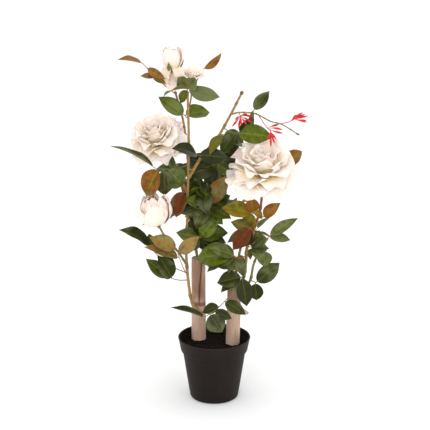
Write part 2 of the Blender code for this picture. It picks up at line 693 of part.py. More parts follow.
def blade(root, way, face, length, width_share, droop, stations=BLADE_STATIONS):
    """A leaf's solid: four-sided sections along a midrib that bends away from the leaf's face."""
    side = way.cross(face)
    rings = []
    for along, wide in (*stations, (1.0, 0.0)):
        angle = droop * along
        place = root + length / droop * (way * math.sin(angle) - face * (1 - math.cos(angle)))
        normal = face * math.cos(angle) + way * math.sin(angle)
        half = max(wide * width_share * length / 2, 0.8)
        thick = BLADE_THICK / 2 if wide else 0.8
        rise = BLADE_FOLD * half if wide else 0
        rings.append((place - side * half + normal * rise, place - normal * thick,
                      place + side * half + normal * rise, place + normal * thick))
    return loft(rings[:-1], point=place)


def face_towards(way, towards, roll):
    """The face of a blade that points along a way and looks towards a vector, rolled by degrees."""
    face = (towards - way * way.dot(towards)).normalized()
    return Matrix.Rotation(math.radians(roll), 3, way) @ face


def stalk_limb(root, lean, fore, length, bow):
    """A bowed stalk of a few stretches."""
    end = root + direction(lean, fore) * length
    middle = (root + end) / 2 - UP * bow * 2
    route = []
    for step in range(STALK_STEPS + 1):
        t = step / STALK_STEPS
        route.append(root * (1 - t) ** 2 + middle * 2 * t * (1 - t) + end * t * t)
    return Limb(route, STALK_RADIUS, STALK_TIP_RADIUS)


def grow_spray(space, name, limb, blades, towards, rng, slot, stations=BLADE_STATIONS):
    """Fuses a stalk and its blades. A blade that meets another part is turned to the front or
    back until it is clear, and is left out where no turn clears it."""
    solids = [tube(limb, 4)]
    space.place(name, solids)
    last = len(limb.route) - 1
    for number, (lean, fore, length, roll, *broad) in enumerate(blades):
        share = max(0.25, 1 - BLADE_SPACING * number)
        row = min(int(share * last), last - 1)
        root = limb.between(row, share * last - row)[0]
        length *= rng.uniform(0.96, 1.04)
        wide = WIDTH_SHARE * rng.uniform(0.92, 1.1) * (broad[0] if broad else 1)
        droop = rng.uniform(0.25, 0.75)
        roll += rng.uniform(-14, 14)
        fore += rng.uniform(*FORE_SPREAD)
        for turn in TURNS:
            way = direction(lean, fore + turn)
            solid = blade(root, way, face_towards(way, towards, roll), length, wide, droop, stations)
            if not space.clashes(solid, name):
                solids.append(solid)
                break
            solid.free()
        else:
            print("skipped", name, number)
    for solid in solids[1:]:
        space.add(name, solid)
    join(name, solids, slot)


def spray_stalk(spray, limbs):
    lean, fore, length, bow = spray.stalk
    way, stem = direction(lean, fore), limbs[spray.stem]
    at_tip = spray.height is TIP
    root = stem.beyond(way, STALK_RADIUS) if at_tip else stem.beside(spray.height, way, STALK_RADIUS)
    return stalk_limb(root, lean, fore, length, bow)


def make_sprays(space, limbs):
    for number, spray in enumerate(SPRAYS):
        slot = "bronze_leaves" if "bronze" in spray.name or "rust" in spray.name else "leaves"
        limb = spray_stalk(spray, limbs)
        grow_spray(space, spray.name, limb, spray.blades, VIEWER, random.Random(number), slot)


def make_back_sprays(space, limbs):
    rng = random.Random(BACK_SEED)
    for number, (stem, height, around, up) in enumerate(BACK_SPRAYS):
        rise = Matrix.Rotation(math.radians(-up), 3, "Y")
        way = Matrix.Rotation(math.radians(around), 3, "Z") @ rise @ Vector((1, 0, 0))
        length = BACK_STALK * rng.uniform(0.85, 1.15)
        spray = Spray("", stem, height, (*angles(way), length, 5), ())
        blades = []
        for blade_number in range(BACK_BLADES):
            spread = (blade_number + 1) // 2 * BACK_SPREAD / 1.5 * (1 if blade_number % 2 else -1)
            spread = max(-BACK_SPREAD, min(BACK_SPREAD, spread)) + rng.uniform(-12, 12)
            tilted = Matrix.Rotation(math.radians(spread), 3, "Z") @ way + UP * rng.uniform(-0.6, 0.2)
            blades.append((*angles(tilted.normalized()), BACK_LENGTH * rng.uniform(0.8, 1.15), 0))
        limb = spray_stalk(spray, limbs)
        grow_spray(space, f"leaves_back_{number + 1}", limb, blades, way + UP, rng, "leaves", BACK_STATIONS)


def spindle(root, way, length):
    """A small closed flower that widens from its root and ends in a point."""
    frame = axis_frame(root, way)
    rings = []
    for along, share in SPINDLE_STATIONS:
        turns = [2 * math.pi * side / SPINDLE_SIDES for side in range(SPINDLE_SIDES)]
        radius = SPINDLE_RADIUS * share
        rings.append([frame @ Vector((radius * math.cos(turn), radius * math.sin(turn), along * length))
                      for turn in turns])
    return loft(rings, point=root + way * length)


def make_blossoms(space, limbs):
    for number, spray in enumerate(BLOSSOMS):
        rng = random.Random(number)
        limb = spray_stalk(spray, limbs)
        solids = [tube(limb, 4)]
        lean, fore = spray.stalk[:2]
        for count in range(spray.spindles):
            root = limb.route[-1].lerp(limb.route[-2], 0.9 * (1 - count / (spray.spindles - 1)))
            fan = spray.fan * (count / (spray.spindles - 1) - 0.5)
            way = direction(lean + fan + rng.uniform(-9, 9), fore + rng.uniform(-35, 25))
            solids.append(spindle(root - way, way, SPINDLE_LENGTH * rng.uniform(0.75, 1.2)))
        space.place(spray.name, solids)
        join(spray.name, solids, "blossom")


def main():
    for old in list(bpy.data.objects):
        bpy.data.objects.remove(old)
    parts = bpy.data.collections.new("rose_bush")
    bpy.context.scene.collection.children.link(parts)
    make_materials()
    make_pot()
    make_filling()
    space = Space()
    make_trunks(space)
    limbs = make_stems(space)
    make_blooms(space, limbs)
    make_blossoms(space, limbs)
    make_sprays(space, limbs)
    make_back_sprays(space, limbs)


if __name__ == "__main__":
    main()
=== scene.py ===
"""Artificial rose bush in its nursery pot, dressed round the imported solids.

Stems, petals and leaves grow by the same rules as the solids, finer: each blade and petal takes
the turn or size that its solid took. Sizes and places are in millimetres, +X is to the right,
-Y to the front and the origin is the middle of the pot's flat underside.
"""

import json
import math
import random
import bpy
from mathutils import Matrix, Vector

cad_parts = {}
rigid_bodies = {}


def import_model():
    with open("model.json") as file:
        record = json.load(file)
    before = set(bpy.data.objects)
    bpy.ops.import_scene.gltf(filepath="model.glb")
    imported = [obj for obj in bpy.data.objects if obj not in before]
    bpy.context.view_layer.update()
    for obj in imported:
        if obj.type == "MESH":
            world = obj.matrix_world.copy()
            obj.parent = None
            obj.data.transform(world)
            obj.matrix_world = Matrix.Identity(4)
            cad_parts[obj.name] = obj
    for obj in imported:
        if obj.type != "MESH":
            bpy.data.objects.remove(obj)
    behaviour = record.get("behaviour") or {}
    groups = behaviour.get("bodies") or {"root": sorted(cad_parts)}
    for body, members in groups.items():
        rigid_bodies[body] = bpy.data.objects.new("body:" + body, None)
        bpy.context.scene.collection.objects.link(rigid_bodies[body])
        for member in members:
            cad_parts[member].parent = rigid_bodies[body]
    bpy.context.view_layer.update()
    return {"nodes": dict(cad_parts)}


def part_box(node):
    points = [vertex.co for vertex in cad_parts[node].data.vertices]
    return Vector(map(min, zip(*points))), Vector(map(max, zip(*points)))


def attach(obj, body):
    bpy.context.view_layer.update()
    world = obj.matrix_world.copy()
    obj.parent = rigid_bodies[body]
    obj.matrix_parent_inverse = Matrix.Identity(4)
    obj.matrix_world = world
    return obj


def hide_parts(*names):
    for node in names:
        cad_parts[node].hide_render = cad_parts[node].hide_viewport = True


bl_info = {
    "name": "Potted Rose Bush",
    "version": (1, 0, 0),
    "blender": (4, 5, 0),
    "location": "View3D > Sidebar > Rose Bush",
    "description": "Grows an artificial rose bush in a round pot",
    "category": "Add Mesh",
}

from collections import namedtuple

import bpy
import numpy as np
from mathutils import Matrix, Vector, noise
from mathutils.kdtree import KDTree

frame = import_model()

MM = 0.001
CLEAR = 0.3
UP = Vector((0, 0, 1))
VIEWER = Vector((0, -0.85, 0.53))
SAME_PLACE = 0.1

# Stage, in metres: the camera that was fitted to the photograph, and for each light its place,
# width and power
SENSOR = 36.0
FOCAL_SHARE = 1250 / 430
CAMERA_PLACE = (0.0019, -2.757, 1.2375)
CAMERA_PITCH = 16.0
FLOOR_REACH = 30.0
WORLD_STRENGTH = 1.12
LIT_POINT = (0, 0, 0.42)
LIGHTS = {
    "key": ((-0.6, -3.1, 2.0), 1.0, 20),
    "fill": ((1.5, -2.6, 1.3), 1.5, 9),
    "top": ((0.2, 0.6, 3.2), 2.0, 6),
}

# Pot and filling
RIM_WIDTH = 170.0
POT_HEIGHT = 150.0
BASE_WIDTH = 114.0
BAND_HEIGHT = 34.0
BAND_FOOT = POT_HEIGHT - BAND_HEIGHT
BAND_FOOT_WIDTH = 157.0
BAND_STEP = 4.2
WALL = 2.6
FLOOR = 3.0
FOOT_ROUND = 7.0
RIM_ROUND = 1.5
FILL_BELOW_RIM = 20.0
POT_STEPS = 144
POT_CREASE = 50
FILLING_RINGS = 46
FILLING_STEPS = 120
CRUMB_STEPS = 48
# Lumps of the filling: noise scale and height
LUMPS = ((130, 1.3), (320, 0.7))
GROUND = POT_HEIGHT - FILL_BELOW_RIM + CLEAR

# Trunks: foot, top, and the radius at each
TRUNKS = {
    "trunk_left": ((-37, 39), (-37, 40, 331), 17.4, 16.6),
    "trunk_right": ((44, 10), (47, 11, 272), 17.0, 16.2),
}
STUB = ((50, 4, 222), (80, -2, 207), 5.2, 3.6)
TRUNK_ROWS = 150
TRUNK_SIDES = 96
CRACK_DEPTH = 2.6
BARK_CREASE = 55
SUNK = 5.0

# Stems: foot to tip, with the points that each bends through, and the radius at foot and tip.
# A stem with a parent starts on that stem or trunk top, at the height or share of length given.
Stem = namedtuple("Stem", "name parent start route foot_radius tip_radius")
BESIDE = None
STEMS = (
    Stem("stem_tall", BESIDE, None, ((-27.4, 20.1, 196), (-37, 17.6, 207), (-52, 16, 226),
         (-60, 13, 277), (-65, 12, 352), (-62, 6, 437), (-60, -2, 505), (-57, -12, 624),
         (-59, -14, 733)), 4.2, 2.7),
    Stem("stem_bud", "stem_tall", 540, ((-61, 24, 578), (-65, 52, 616), (-71, 54, 656), (-78, 30, 694),
         (-86, 6, 729), (-91, 2, 773)), 2.7, 2.3),
    Stem("stem_side_bloom", "stem_tall", 690, ((-52, 6, 716), (-48, 12, 757)), 2.1, 1.8),
    Stem("stem_left_rose", "stem_tall", 500, ((-80, 12, 534), (-112, 22, 566), (-126, 24, 594)), 3.0,
         2.6),
    Stem("stem_right", "stem_tall", 534, ((-31, 10, 578), (-16, 12, 597), (10, 12, 630), (38, 10, 681),
         (60, 5, 726)), 4.0, 2.6),
    Stem("stem_twig", "stem_right", 680, ((58, 6, 685), (88, 2, 684), (104, 0, 678), (128, -4, 666),
         (152, -6, 660), (184, -10, 641)), 2.0, 1.3),
    Stem("stem_half_rose", "stem_tall", 322, ((-84, 2, 358), (-110, -18, 396), (-125, -34, 430)), 2.8,
         2.3),
    Stem("stem_centre", "trunk_left", None, ((-26, 35), (-24, 26, 420), (-16, 20, 480), (-12, 26, 545)),
         3.6, 2.6),
    Stem("stem_right_rose", "trunk_right", None, ((54, 6), (68, -6, 296), (73, -14, 340),
         (76, -17, 375), (92, -18, 420), (106, -12, 470), (110, 2, 524)), 4.4, 3.0),
    Stem("stem_right_spray", BESIDE, None, ((65.9, 9, 262), (84, 4, 287), (91, 0, 326), (104, -5, 360),
         (122, -10, 392)), 3.4, 2.3),
    Stem("stem_back_left", "trunk_left", None, ((-40, 48), (-60, 66, 430), (-84, 88, 520),
         (-108, 100, 590)), 3.4, 2.6),
    Stem("stem_back_right", "trunk_right", None, ((46, 19), (62, 52, 350), (88, 76, 440),
         (104, 84, 520)), 3.6, 2.2),
)
FACET = 0.96
ROUTE_STEPS = 2
FINE_STEPS = 8
STEM_SLIM = 0.95
JOINT_SPACING = (15, 19)
# The way from a stem's foot into the trunk that it stands beside
INTO_TRUNK = {"stem_tall": (-6, 8, -12), "stem_right_spray": (-8, 1, -12)}
# Buds on stem tips: how far each ring is past the tip, and its radius
TIP_BUDS = {
    "stem_right": ((1, 3.4), (3.5, 4.2), (6, 3.8), (8, 2.2), (9, 0.6)),
    "stem_twig": ((1.5, 2.0), (4, 2.3), (7, 1.5), (9, 0.3)),
}

# Blooms: petals stand in rings round the bloom's axis. Start and end are a petal's angle from
# the axis at its foot and tip, rise is its foot's height and cup the radius it curves across.
# The inner rings stand where the solid has its closed heart. Sepals curl up round the bloom by
# that many radians, or fall where it is below zero.
Ring = namedtuple("Ring", "count length width start end rise cup roll ruffle turn")
Bloom = namedtuple("Bloom", "name stem lean fore rings inner size tall sepals curl seed crumple")
OPEN_RINGS = (
    Ring(6, 82, 92, 74, 110, 3, 90, 3, 6.0, 0),
    Ring(5, 80, 88, 44, 66, 9, 56, 4, 6.0, 32),
)
OPEN_INNER = (
    Ring(5, 74, 82, 60, 92, 6, 64, 4, 6.0, 16),
    Ring(5, 80, 80, 36, 40, 14, 44, 4, 5.0, 8),
    Ring(5, 68, 66, 25, 16, 17, 32, 2, 4.0, 40),
    Ring(4, 58, 54, 18, -4, 20, 22, 0, 2.0, 50),
    Ring(3, 46, 38, 10, -14, 22, 13, 0, 1.0, 0),
)
HALF_OPEN_RINGS = (
    Ring(4, 106, 82, 88, -46, 0, 44, 0, 2.0, 15),
)
HALF_OPEN_INNER = (
    Ring(6, 106, 72, 86, -72, 1, 38, 0, 7.0, 50),
    Ring(6, 104, 66, 80, -88, 3, 32, 0, 6.0, 10),
    Ring(5, 98, 60, 76, -104, 5, 26, 0, 5.0, 40),
    Ring(5, 90, 52, 66, -112, 8, 20, 0, 3.5, 70),
)
BUD_RINGS = (
    Ring(3, 60, 50, 80, -52, 4, 26, 0, 0.8, 20),
    Ring(3, 44, 38, 150, 184, 0, 24, 0, 1.5, 270),
)
BUD_INNER = (
    Ring(3, 58, 46, 78, -66, 4, 23, 0, 1.0, 80),
    Ring(3, 58, 42, 70, -84, 5, 19, 0, 0.8, 20),
    Ring(3, 55, 34, 62, -92, 6, 14, 0, 0.6, 60),
    Ring(4, 34, 34, 116, 184, 9, 18, 0, 3.5, 42),
    Ring(3, 40, 30, 138, 190, 4, 18, 0, 3.0, 330),
)
SIDE_RINGS = (
    Ring(5, 46, 54, 84, 50, 0, 32, 0, 3.0, 15),
)
SIDE_INNER = (
    Ring(5, 40, 44, 66, 30, 3, 24, 0, 3.0, 40),
    Ring(4, 34, 34, 44, 4, 4, 16, 0, 2.0, 0),
)
BLOOMS = (
    Bloom("rose_right", "stem_right_rose", 3, 22, OPEN_RINGS, OPEN_INNER, 1.04, 1, 0, 0, 3, 1),
    Bloom("rose_left", "stem_left_rose", -8, 28, OPEN_RINGS, OPEN_INNER, 0.82, 1.12, 0, 0, 8, 1.1),
    Bloom("rose_half_open", "stem_half_rose", -14, 16, HALF_OPEN_RINGS, HALF_OPEN_INNER, 0.8, 1.05,
          4, -0.5, 5, 2.2),
    Bloom("rose_back", "stem_back_left", -6, -30, OPEN_RINGS[:1], (OPEN_RINGS[1], *OPEN_INNER), 0.66, 1,
          0, 0, 17, 1),
    Bloom("bud_top", "stem_bud", -4, 4, BUD_RINGS, BUD_INNER, 0.92, 1.12, 3, 1.25, 11, 1.4),
    Bloom("bloom_side", "stem_side_bloom", 8, 12, SIDE_RINGS, SIDE_INNER, 0.64, 1, 0, 0, 13, 1.3),
)
PETAL_FOOT = 4.0
PETAL_TWIST = 0.14
FOOT_STEP = 0.7
PETAL_SIZES = (1, 0.92, 0.84, 0.76, 0.68)
# Corners that the solid's petals have, across from the middle and along from the foot
PETAL_CORNERS = ((-0.4, 1), (0.4, 1), (-1, 1), (1, 1), (-1, 0.58), (1, 0.58))
EDGE_FALL = 0.3
SCALLOP = 0.028
PETAL_ROWS = 17
PETAL_COLUMNS = 19
WEAVE = 420
CLOTH_CREASE = 62
CALYX_RADIUS = 6.0
# How far each ring of a calyx is down the stem, or up the bloom below zero, and its radius
CALYX_CUP = ((8, 2.6), (5, 3.6), (2.5, 5.4), (0, 6.2), (-3, 5.6), (-6, 3.0))
SEPAL_LENGTH = 40.0
SEPAL_SHARE = 0.35
HIDDEN_SEPALS = 5
HIDDEN_SEPAL_LENGTH = 24.0

# Leaves. A spray has a stalk from its stem, and blades at its tip and in turn down from there.
# Lean is an angle to the right of upright as seen from the front, and fore is towards the front.
# A stalk is lean, fore, length and how far it bows down; a blade is lean, fore, length and roll,
# and where it isn't of the usual breadth, how many times that it has.
# Each letter of dye is one blade's colour, by the names in LEAF_DYES.
Spray = namedtuple("Spray", "name stem height stalk blades dye")
TIP = None
SPRAYS = (
    Spray("leaves_top", "stem_tall", TIP, (-6, 12, 15, 0), ((-47, 6, 31, 180, 1.7),
          (57, 6, 38, 180, 1.5), (105, 14, 84, 180, 0.8), (-72, 8, 81, 76, 0.8), (-146, -20, 42, 0),
          (5, 6, 48, 180, 1.1)), "uuuooo"),
    Spray("leaves_bud_stem", "stem_tall", 674, (-50, -30, 9, 0), ((-49, 10, 75, 0, 0.9),
          (76, -6, 69, 0, 1.15)), "bb"),
    Spray("leaves_bronze_top", "stem_bud", 724, (-42, 24, 108, 4), ((-70, 5, 56, 66),
          (122, 10, 48, 30, 0.8), (131, -10, 44, 30, 0.8), (-79, 25, 32, 0, 0.8)), "zzoz"),
    Spray("leaf_bronze_peak", "stem_side_bloom", 736, (31, -24, 48, 0), ((57, -8, 57, 58, 0.8),), "z"),
    Spray("leaves_left", "stem_tall", 566, (-84, 38, 90, 5), ((-53, 0, 118, 76, 0.8),
          (212, 6, 84, 0, 1.1), (176, 0, 72, 0, 1.25), (141, -10, 74, 0, 1.2), (4, 10, 32, 0),
          (-113, -20, 52, 0)), "dzdudd"),
    Spray("leaf_rust_left", "stem_tall", 512, (-120, 30, 8, 0), ((204, 10, 66, 0, 1.1),), "r"),
    Spray("leaves_cross", "stem_right", 584, (-60, 60, 22, 0), ((-50, 14, 74, 34), (87, 8, 74, 10),
          (100, -15, 63, 0, 1.2)), "kkk"),
    Spray("leaves_fork", "stem_right", 632, (70, 40, 6, 0), ((-130, 10, 62, 40), (112, -20, 74, 0, 1.2),
          (144, 6, 70, 0, 1.2)), "ogd"),
    Spray("leaves_above_right_rose", "stem_right", 648, (104, 20, 34, 4), ((50, 5, 52, 40, 1.2),
          (92, 8, 86, 0), (219, 18, 60, 0, 1.1)), "dbd"),
    Spray("leaves_centre_middle", "stem_centre", 455, (10, 50, 20, 0), ((36, 12, 85, 0),
          (-98, 10, 66, 0, 1.2), (-150, 25, 64, 0, 1.2), (108, 10, 68, 0, 1.2), (176, 15, 66, 0, 1.2),
          (60, -20, 66, 0, 1.2)), "zkdgdd"),
    Spray("leaves_centre_top", "stem_centre", TIP, (40, 10, 26, 0), ((76, 5, 66, 0, 1.2),
          (146, 16, 70, 0, 1.2), (-108, 10, 68, 0, 1.2), (124, -30, 66, 0, 1.2), (-70, -30, 66, 0, 1.2),
          (176, 26, 68, 0, 1.2)), "dkdgkk"),
    Spray("leaves_centre_upper", "stem_centre", 500, (-50, 40, 20, 0), ((-104, 5, 66, 0, 1.2),
          (168, 20, 68, 0, 1.2), (118, 15, 64, 0, 1.2), (-146, -15, 64, 0, 1.2), (70, -25, 62, 0, 1.2)),
          "dkgdd"),
    Spray("leaves_centre_low", "stem_centre", 396, (-127, 60, 19, 0), ((-67, 10, 58, 0, 1.2),
          (32, 20, 80, 0), (-132, 0, 55, 0, 1.2), (97, -10, 64, 0, 1.2), (75, -20, 70, 0, 1.2)),
          "ulgdk"),
    Spray("leaves_bright_low", "stem_right_rose", 352, (-74, 30, 30, 4), ((-89, 8, 95, 0, 1.25),
          (-104, 26, 70, 0, 1.1), (157, 10, 50, 0)), "bgd"),
    Spray("leaves_under_right_rose", "stem_right_rose", 474, (-129, 26, 23, 3), ((-70, 10, 75, 0, 1.15),
          (203, -18, 52, 0, 1.3), (-12, 0, 42, 0, 1.5)), "yyz"),
    Spray("leaf_bronze_right", "stem_right_rose", 458, (143, 20, 9, 0), ((36, 6, 54, 0, 1.15),
          (-40, -4, 40, 0)), "zy"),
    Spray("leaves_rust_fold", "stem_right_rose", 408, (-12, 46, 26, 0), ((221, 14, 69, 0, 1.1),
          (-149, 8, 60, 0, 1.2), (-64, 0, 51, 0, 1.2)), "rdg"),
    Spray("leaves_right_stem", "stem_right_rose", 378, (124, -30, 11, 0), ((17, -10, 46, 0, 1.5),
          (127, -10, 44, 0, 1.3), (82, -24, 41, 0, 1.2)), "uud"),
    Spray("leaves_right_end", "stem_right_spray", TIP, (30, 0, 7, 0), ((51, 2, 83, 0, 0.65),
          (93, 8, 54, 0, 0.9)), "uu"),
    Spray("leaf_right_round", "stem_right_spray", 358, (62, 25, 8, 0), ((174, 30, 38, 0, 1.7),), "u"),
    Spray("leaves_right_low", "stem_right_spray", 288, (110, 20, 11, 0), ((50, 4, 74, 0),
          (175, 12, 53, 0, 1.2)), "dd"),
    Spray("leaves_trunk_right", "stem_right_rose", 306, (-120, 60, 8, 0), ((169, 20, 78, 0),
          (-100, 10, 62, 0, 1.2), (-116, -10, 70, 40)), "kdd"),
    Spray("leaves_low_front", "stem_right_rose", 300, (-129, 32, 131, 12), ((-65, 12, 80, 46),
          (147, 16, 58, 0, 1.6), (113, 6, 44, 0, 1.1), (-107, 0, 42, 0, 1.2), (109, 15, 62, 0)),
          "kkkdd"),
    Spray("leaves_bronze_trio", "stem_tall", 292, (-16, 30, 91, 6), ((-56, -12, 68, 20),
          (50, 2, 64, 30), (-60, 8, 92, 50)), "ppp"),
    Spray("leaves_left_low", "stem_tall", 284, (-71, 20, 50, 4), ((0, 5, 58, 0, 1.15), (-45, 8, 72, 0),
          (-20, 10, 76, 0)), "dgd"),
    Spray("leaf_left_narrow", "stem_tall", 300, (-53, 0, 105, 10), ((-36, 4, 88, 62),
          (-20, -20, 50, 0)), "dd"),
    Spray("leaves_twig", "stem_twig", 0.3, (38, 50, 12, 0), ((39, 0, 58, 0), (187, 15, 38, 50)), "du"),
    Spray("leaf_behind_right_rose", "stem_back_right", TIP, (62, 20, 60, 0), ((56, 6, 68, 20),
          (0, 0, 56, 0)), "zg"),
)
WIDTH_SHARE = 0.53
FORE_SPREAD = (-16, 20)
BLADE_FOLD = 0.3
CURL_FROM = 0.62
LEAF_ROWS = 27
LEAF_COLUMNS = 9
VEIN_PAIRS = 9.5
VEIN_SLANT = 2.1
RIB_DEPTH = 0.45
RED_STALKED = ("leaves_bright_low", "leaves_right_end")
FILLED = ("leaves_centre", "leaves_right_stem", "leaves_bright_low")
FILL_DYES = "dkgdoubg"
FILL_SIDES = (-1, 1, -1.6, 1.6)
FILL_TRIES = 12
FILL_WIDTH = WIDTH_SHARE * 1.15
STALK_RADIUS = 1.5
STALK_TIP_RADIUS = 0.9
STALK_SLIM = 0.92
STALK_STEPS = 3
BLADE_SPACING = 0.13
TURNS = (0, 14, -14, 28, -28, 42, -42, 60, -60)

# Sprays round the back, by rule: the stem that carries each, its height and where it points,
# in degrees from the right round through the back, and upward
BACK_SPRAYS = (
    ("stem_back_left", 528, 92, 0),
    ("stem_back_left", 490, 50, 20),
    ("stem_back_left", 420, 100, 5),
    ("stem_back_right", 512, 70, 35),
    ("stem_back_right", 430, 130, 15),
    ("stem_back_right", 370, 62, 5),
    ("stem_centre", 438, 100, 15),
)
BACK_BLADES = 6
BACK_STALK = 84.0
BACK_BOW = 5
BACK_LENGTH = 60.0
BACK_SPREAD = 62.0
BACK_SEED = 41
BACK_DYES = "ddggbokl"

# Red blossom: small spindles that fan, over that angle, from thin stalks on the arching twig
Blossom = namedtuple("Blossom", "name stem height stalk spindles fan")
BLOSSOMS = (
    Blossom("blossom_red_inner", "stem_twig", 0.14, (154, 42, 9, 0), 8, 190),
    Blossom("blossom_red_middle", "stem_twig", 0.44, (140, 20, 40, 3), 7, 140),
    Blossom("blossom_red_outer", "stem_twig", 0.81, (68, 10, 30, 2), 6, 85),
)
SPINDLE_LENGTH = 25.0
SPINDLE_RADIUS = 2.2
SPINDLE_REACH = 1.3
SPINDLE_SLIM = 0.9
BLOSSOM_STALK = 0.95
# A spindle's radius along it, both as shares
SPINDLE = ((0, 0.24), (0.15, 0.26), (0.32, 0.5), (0.5, 1.05), (0.66, 1.3), (0.82, 1.0), (0.94, 0.5),
           (1, 0.08))


def linear(*levels):
    """A colour from its 0-255 levels as a screen shows them."""
    return tuple(level / 255 / 12.92 if level < 11 else ((level / 255 + 0.055) / 1.055) ** 2.4
                 for level in levels)


# Colours of leaf cloth, by the letter that the sprays use
LEAF_DYES = {
    "d": linear(42, 48, 4),
    "g": linear(60, 70, 8),
    "b": linear(78, 90, 4),
    "l": linear(98, 118, 42),
    "o": linear(88, 80, 18),
    "u": linear(84, 92, 50),
    "k": linear(42, 45, 20),
    "y": linear(130, 104, 16),
    "z": linear(136, 74, 16),
    "r": linear(96, 46, 8),
    "p": linear(140, 112, 62),
}
STALK_GREEN = linear(112, 112, 52)
STALK_RED = linear(168, 74, 56)
STEM_TAN = linear(150, 118, 58)
STEM_RUST = linear(138, 70, 34)
STEM_OLIVE = linear(118, 112, 56)
BUD_BROWN = linear(96, 70, 34)
SEPAL_GREEN = linear(122, 132, 66)

# Stems that aren't tan all along: the colour at foot and tip
STEM_DYES = {
    "stem_right_rose": (STEM_OLIVE, STEM_RUST),
    **dict.fromkeys(("stem_half_rose", "stem_right_spray", "stem_centre"), (STEM_OLIVE, STALK_GREEN)),
    **dict.fromkeys(("stem_back_left", "stem_back_right", "stem_twig"), (STEM_TAN, STEM_OLIVE)),
}


def colour_property(name, description, levels):
    return bpy.props.FloatVectorProperty(name=name, description=description, default=linear(*levels),
                                         subtype="COLOR", size=3, min=0, max=1)


def length_property(name, description, millimetres):
    return bpy.props.FloatProperty(name=name, description=description, default=millimetres * MM,
                                   unit="LENGTH", min=0, precision=5)


def share_property(name, description, share, most=1):
    return bpy.props.FloatProperty(name=name, description=description, default=share, min=0, max=most,
                                   subtype="FACTOR")


class RoseBushPot(bpy.types.PropertyGroup):
    plastic: colour_property("Plastic", "Colour of the pot", (23, 16, 13))
    soil: colour_property("Soil", "Colour of the filling", (22, 19, 16))
    crumb: length_property("Crumb", "Radius of the largest crumbs on the filling", 1.9)
    crumb_density: bpy.props.FloatProperty(name="Crumb density", default=52000, min=0,
                                           description="Crumbs on a square metre")
    wood: colour_property("Wood", "Colour of the peeled trunks", (202, 172, 150))
    bark_relief: length_property("Bark relief", "Depth of the furrows in the trunks", 1.1)


class RoseBushCloth(bpy.types.PropertyGroup):
    petal: colour_property("Petal", "Colour of the petal cloth", (255, 247, 242))
    petal_depth: colour_property("Petal depth", "Dye at the petals' feet", (255, 232, 124))
    blossom: colour_property("Blossom", "Colour of the small red blossom", (214, 24, 40))
    petal_thickness: length_property("Petal thickness", "Thickness of a petal's middle", 0.9)
    leaf_thickness: length_property("Leaf thickness", "Thickness of a leaf's middle", 0.8)
    tooth: share_property("Tooth", "Depth of a leaf's teeth as a share of its width", 0.035, most=0.5)
    vein: share_property("Vein", "How much lighter a leaf's veins are", 0.22)


def sign(operation, reflected=False):
    """What a sign does to a Net: it adds a Math node."""
    def apply(self, other):
        return self.math(operation, *((other, self) if reflected else (self, other)))
    return apply


class Net:
    """A socket in a node tree. Signs between sockets and numbers add the tree's Math nodes."""

    __add__, __radd__ = sign("ADD"), sign("ADD", reflected=True)
    __sub__, __rsub__ = sign("SUBTRACT"), sign("SUBTRACT", reflected=True)
    __mul__, __rmul__ = sign("MULTIPLY"), sign("MULTIPLY", reflected=True)

    def __init__(self, tree, socket=None):
        self.tree = tree
        self.socket = socket

    def node(self, kind, settings=None, values=None, output=0):
        """Adds a node with its settings first, then the values or links of its sockets."""
        added = self.tree.nodes.new(kind)
        for name, value in (settings or {}).items():
            setattr(added, name, value)
        for name, value in (values or {}).items():
            if isinstance(value, Net):
                self.tree.links.new(value.socket, added.inputs[name])
            else:
                added.inputs[name].default_value = value
        return Net(self.tree, added.outputs[output] if added.outputs else None)

    def math(self, operation, *values):
        return self.node("ShaderNodeMath", {"operation": operation}, dict(enumerate(values)))

    def __abs__(self):
        return self.math("ABSOLUTE", self)

    def ease(self, low, high):
        """0 below low, 1 above high, smooth between."""
        return self.node("ShaderNodeMapRange", {"interpolation_type": "SMOOTHSTEP"},
                         {"Value": self, "From Min": low, "From Max": high})

    def part(self, index):
        """One number of a vector."""
        return self.node("ShaderNodeSeparateXYZ", {}, {"Vector": self}, index)

    def coats(self, colour, *coats):
        """A colour with others laid over it in turn, each by its share."""
        for coat, share in coats:
            colour = self.node("ShaderNodeMix", {"data_type": "RGBA", "clamp_factor": True},
                               {0: share, 6: rgba(colour), 7: rgba(coat)}, 2)
        return colour

    def stretched(self, scale):
        return self.node("ShaderNodeMapping", {}, {"Vector": self, "Scale": scale})

    def noise(self, scale, detail, roughness=0.5, stretch=None):
        """Noise on Object coordinates, which a Mapping node may stretch."""
        where = self.node("ShaderNodeTexCoord", output=3)
        if stretch:
            where = where.stretched(stretch)
        return where.clouds(scale, detail, roughness)

    def clouds(self, scale, detail, roughness=0.5):
        return self.node("ShaderNodeTexNoise", {}, {"Vector": self, "Scale": scale, "Detail": detail,
                                                    "Roughness": roughness})

    def attribute(self, name, output=2):
        return self.node("ShaderNodeAttribute", {"attribute_name": name}, output=output)

    def bump(self, height, strength, distance):
        return self.node("ShaderNodeBump", {},
                         {"Height": height, "Strength": strength, "Distance": distance})


def rgba(colour):
    return colour if isinstance(colour, Net) else (*tuple(colour)[:3], 1.0)


def finish(name, specular, **constants):
    """A new material's Net, and a function that joins values to its shader."""
    material = bpy.data.materials.new(name)
    material.use_nodes = True
    tree = material.node_tree
    shader = tree.nodes["Principled BSDF"]
    for socket, value in {"Specular_IOR_Level": specular, **constants}.items():
        shader.inputs[socket.replace("_", " ")].default_value = value

    def join(**values):
        for socket, value in values.items():
            tree.links.new(value.socket, shader.inputs[socket.replace("_", " ")])
        return material

    return Net(tree), join


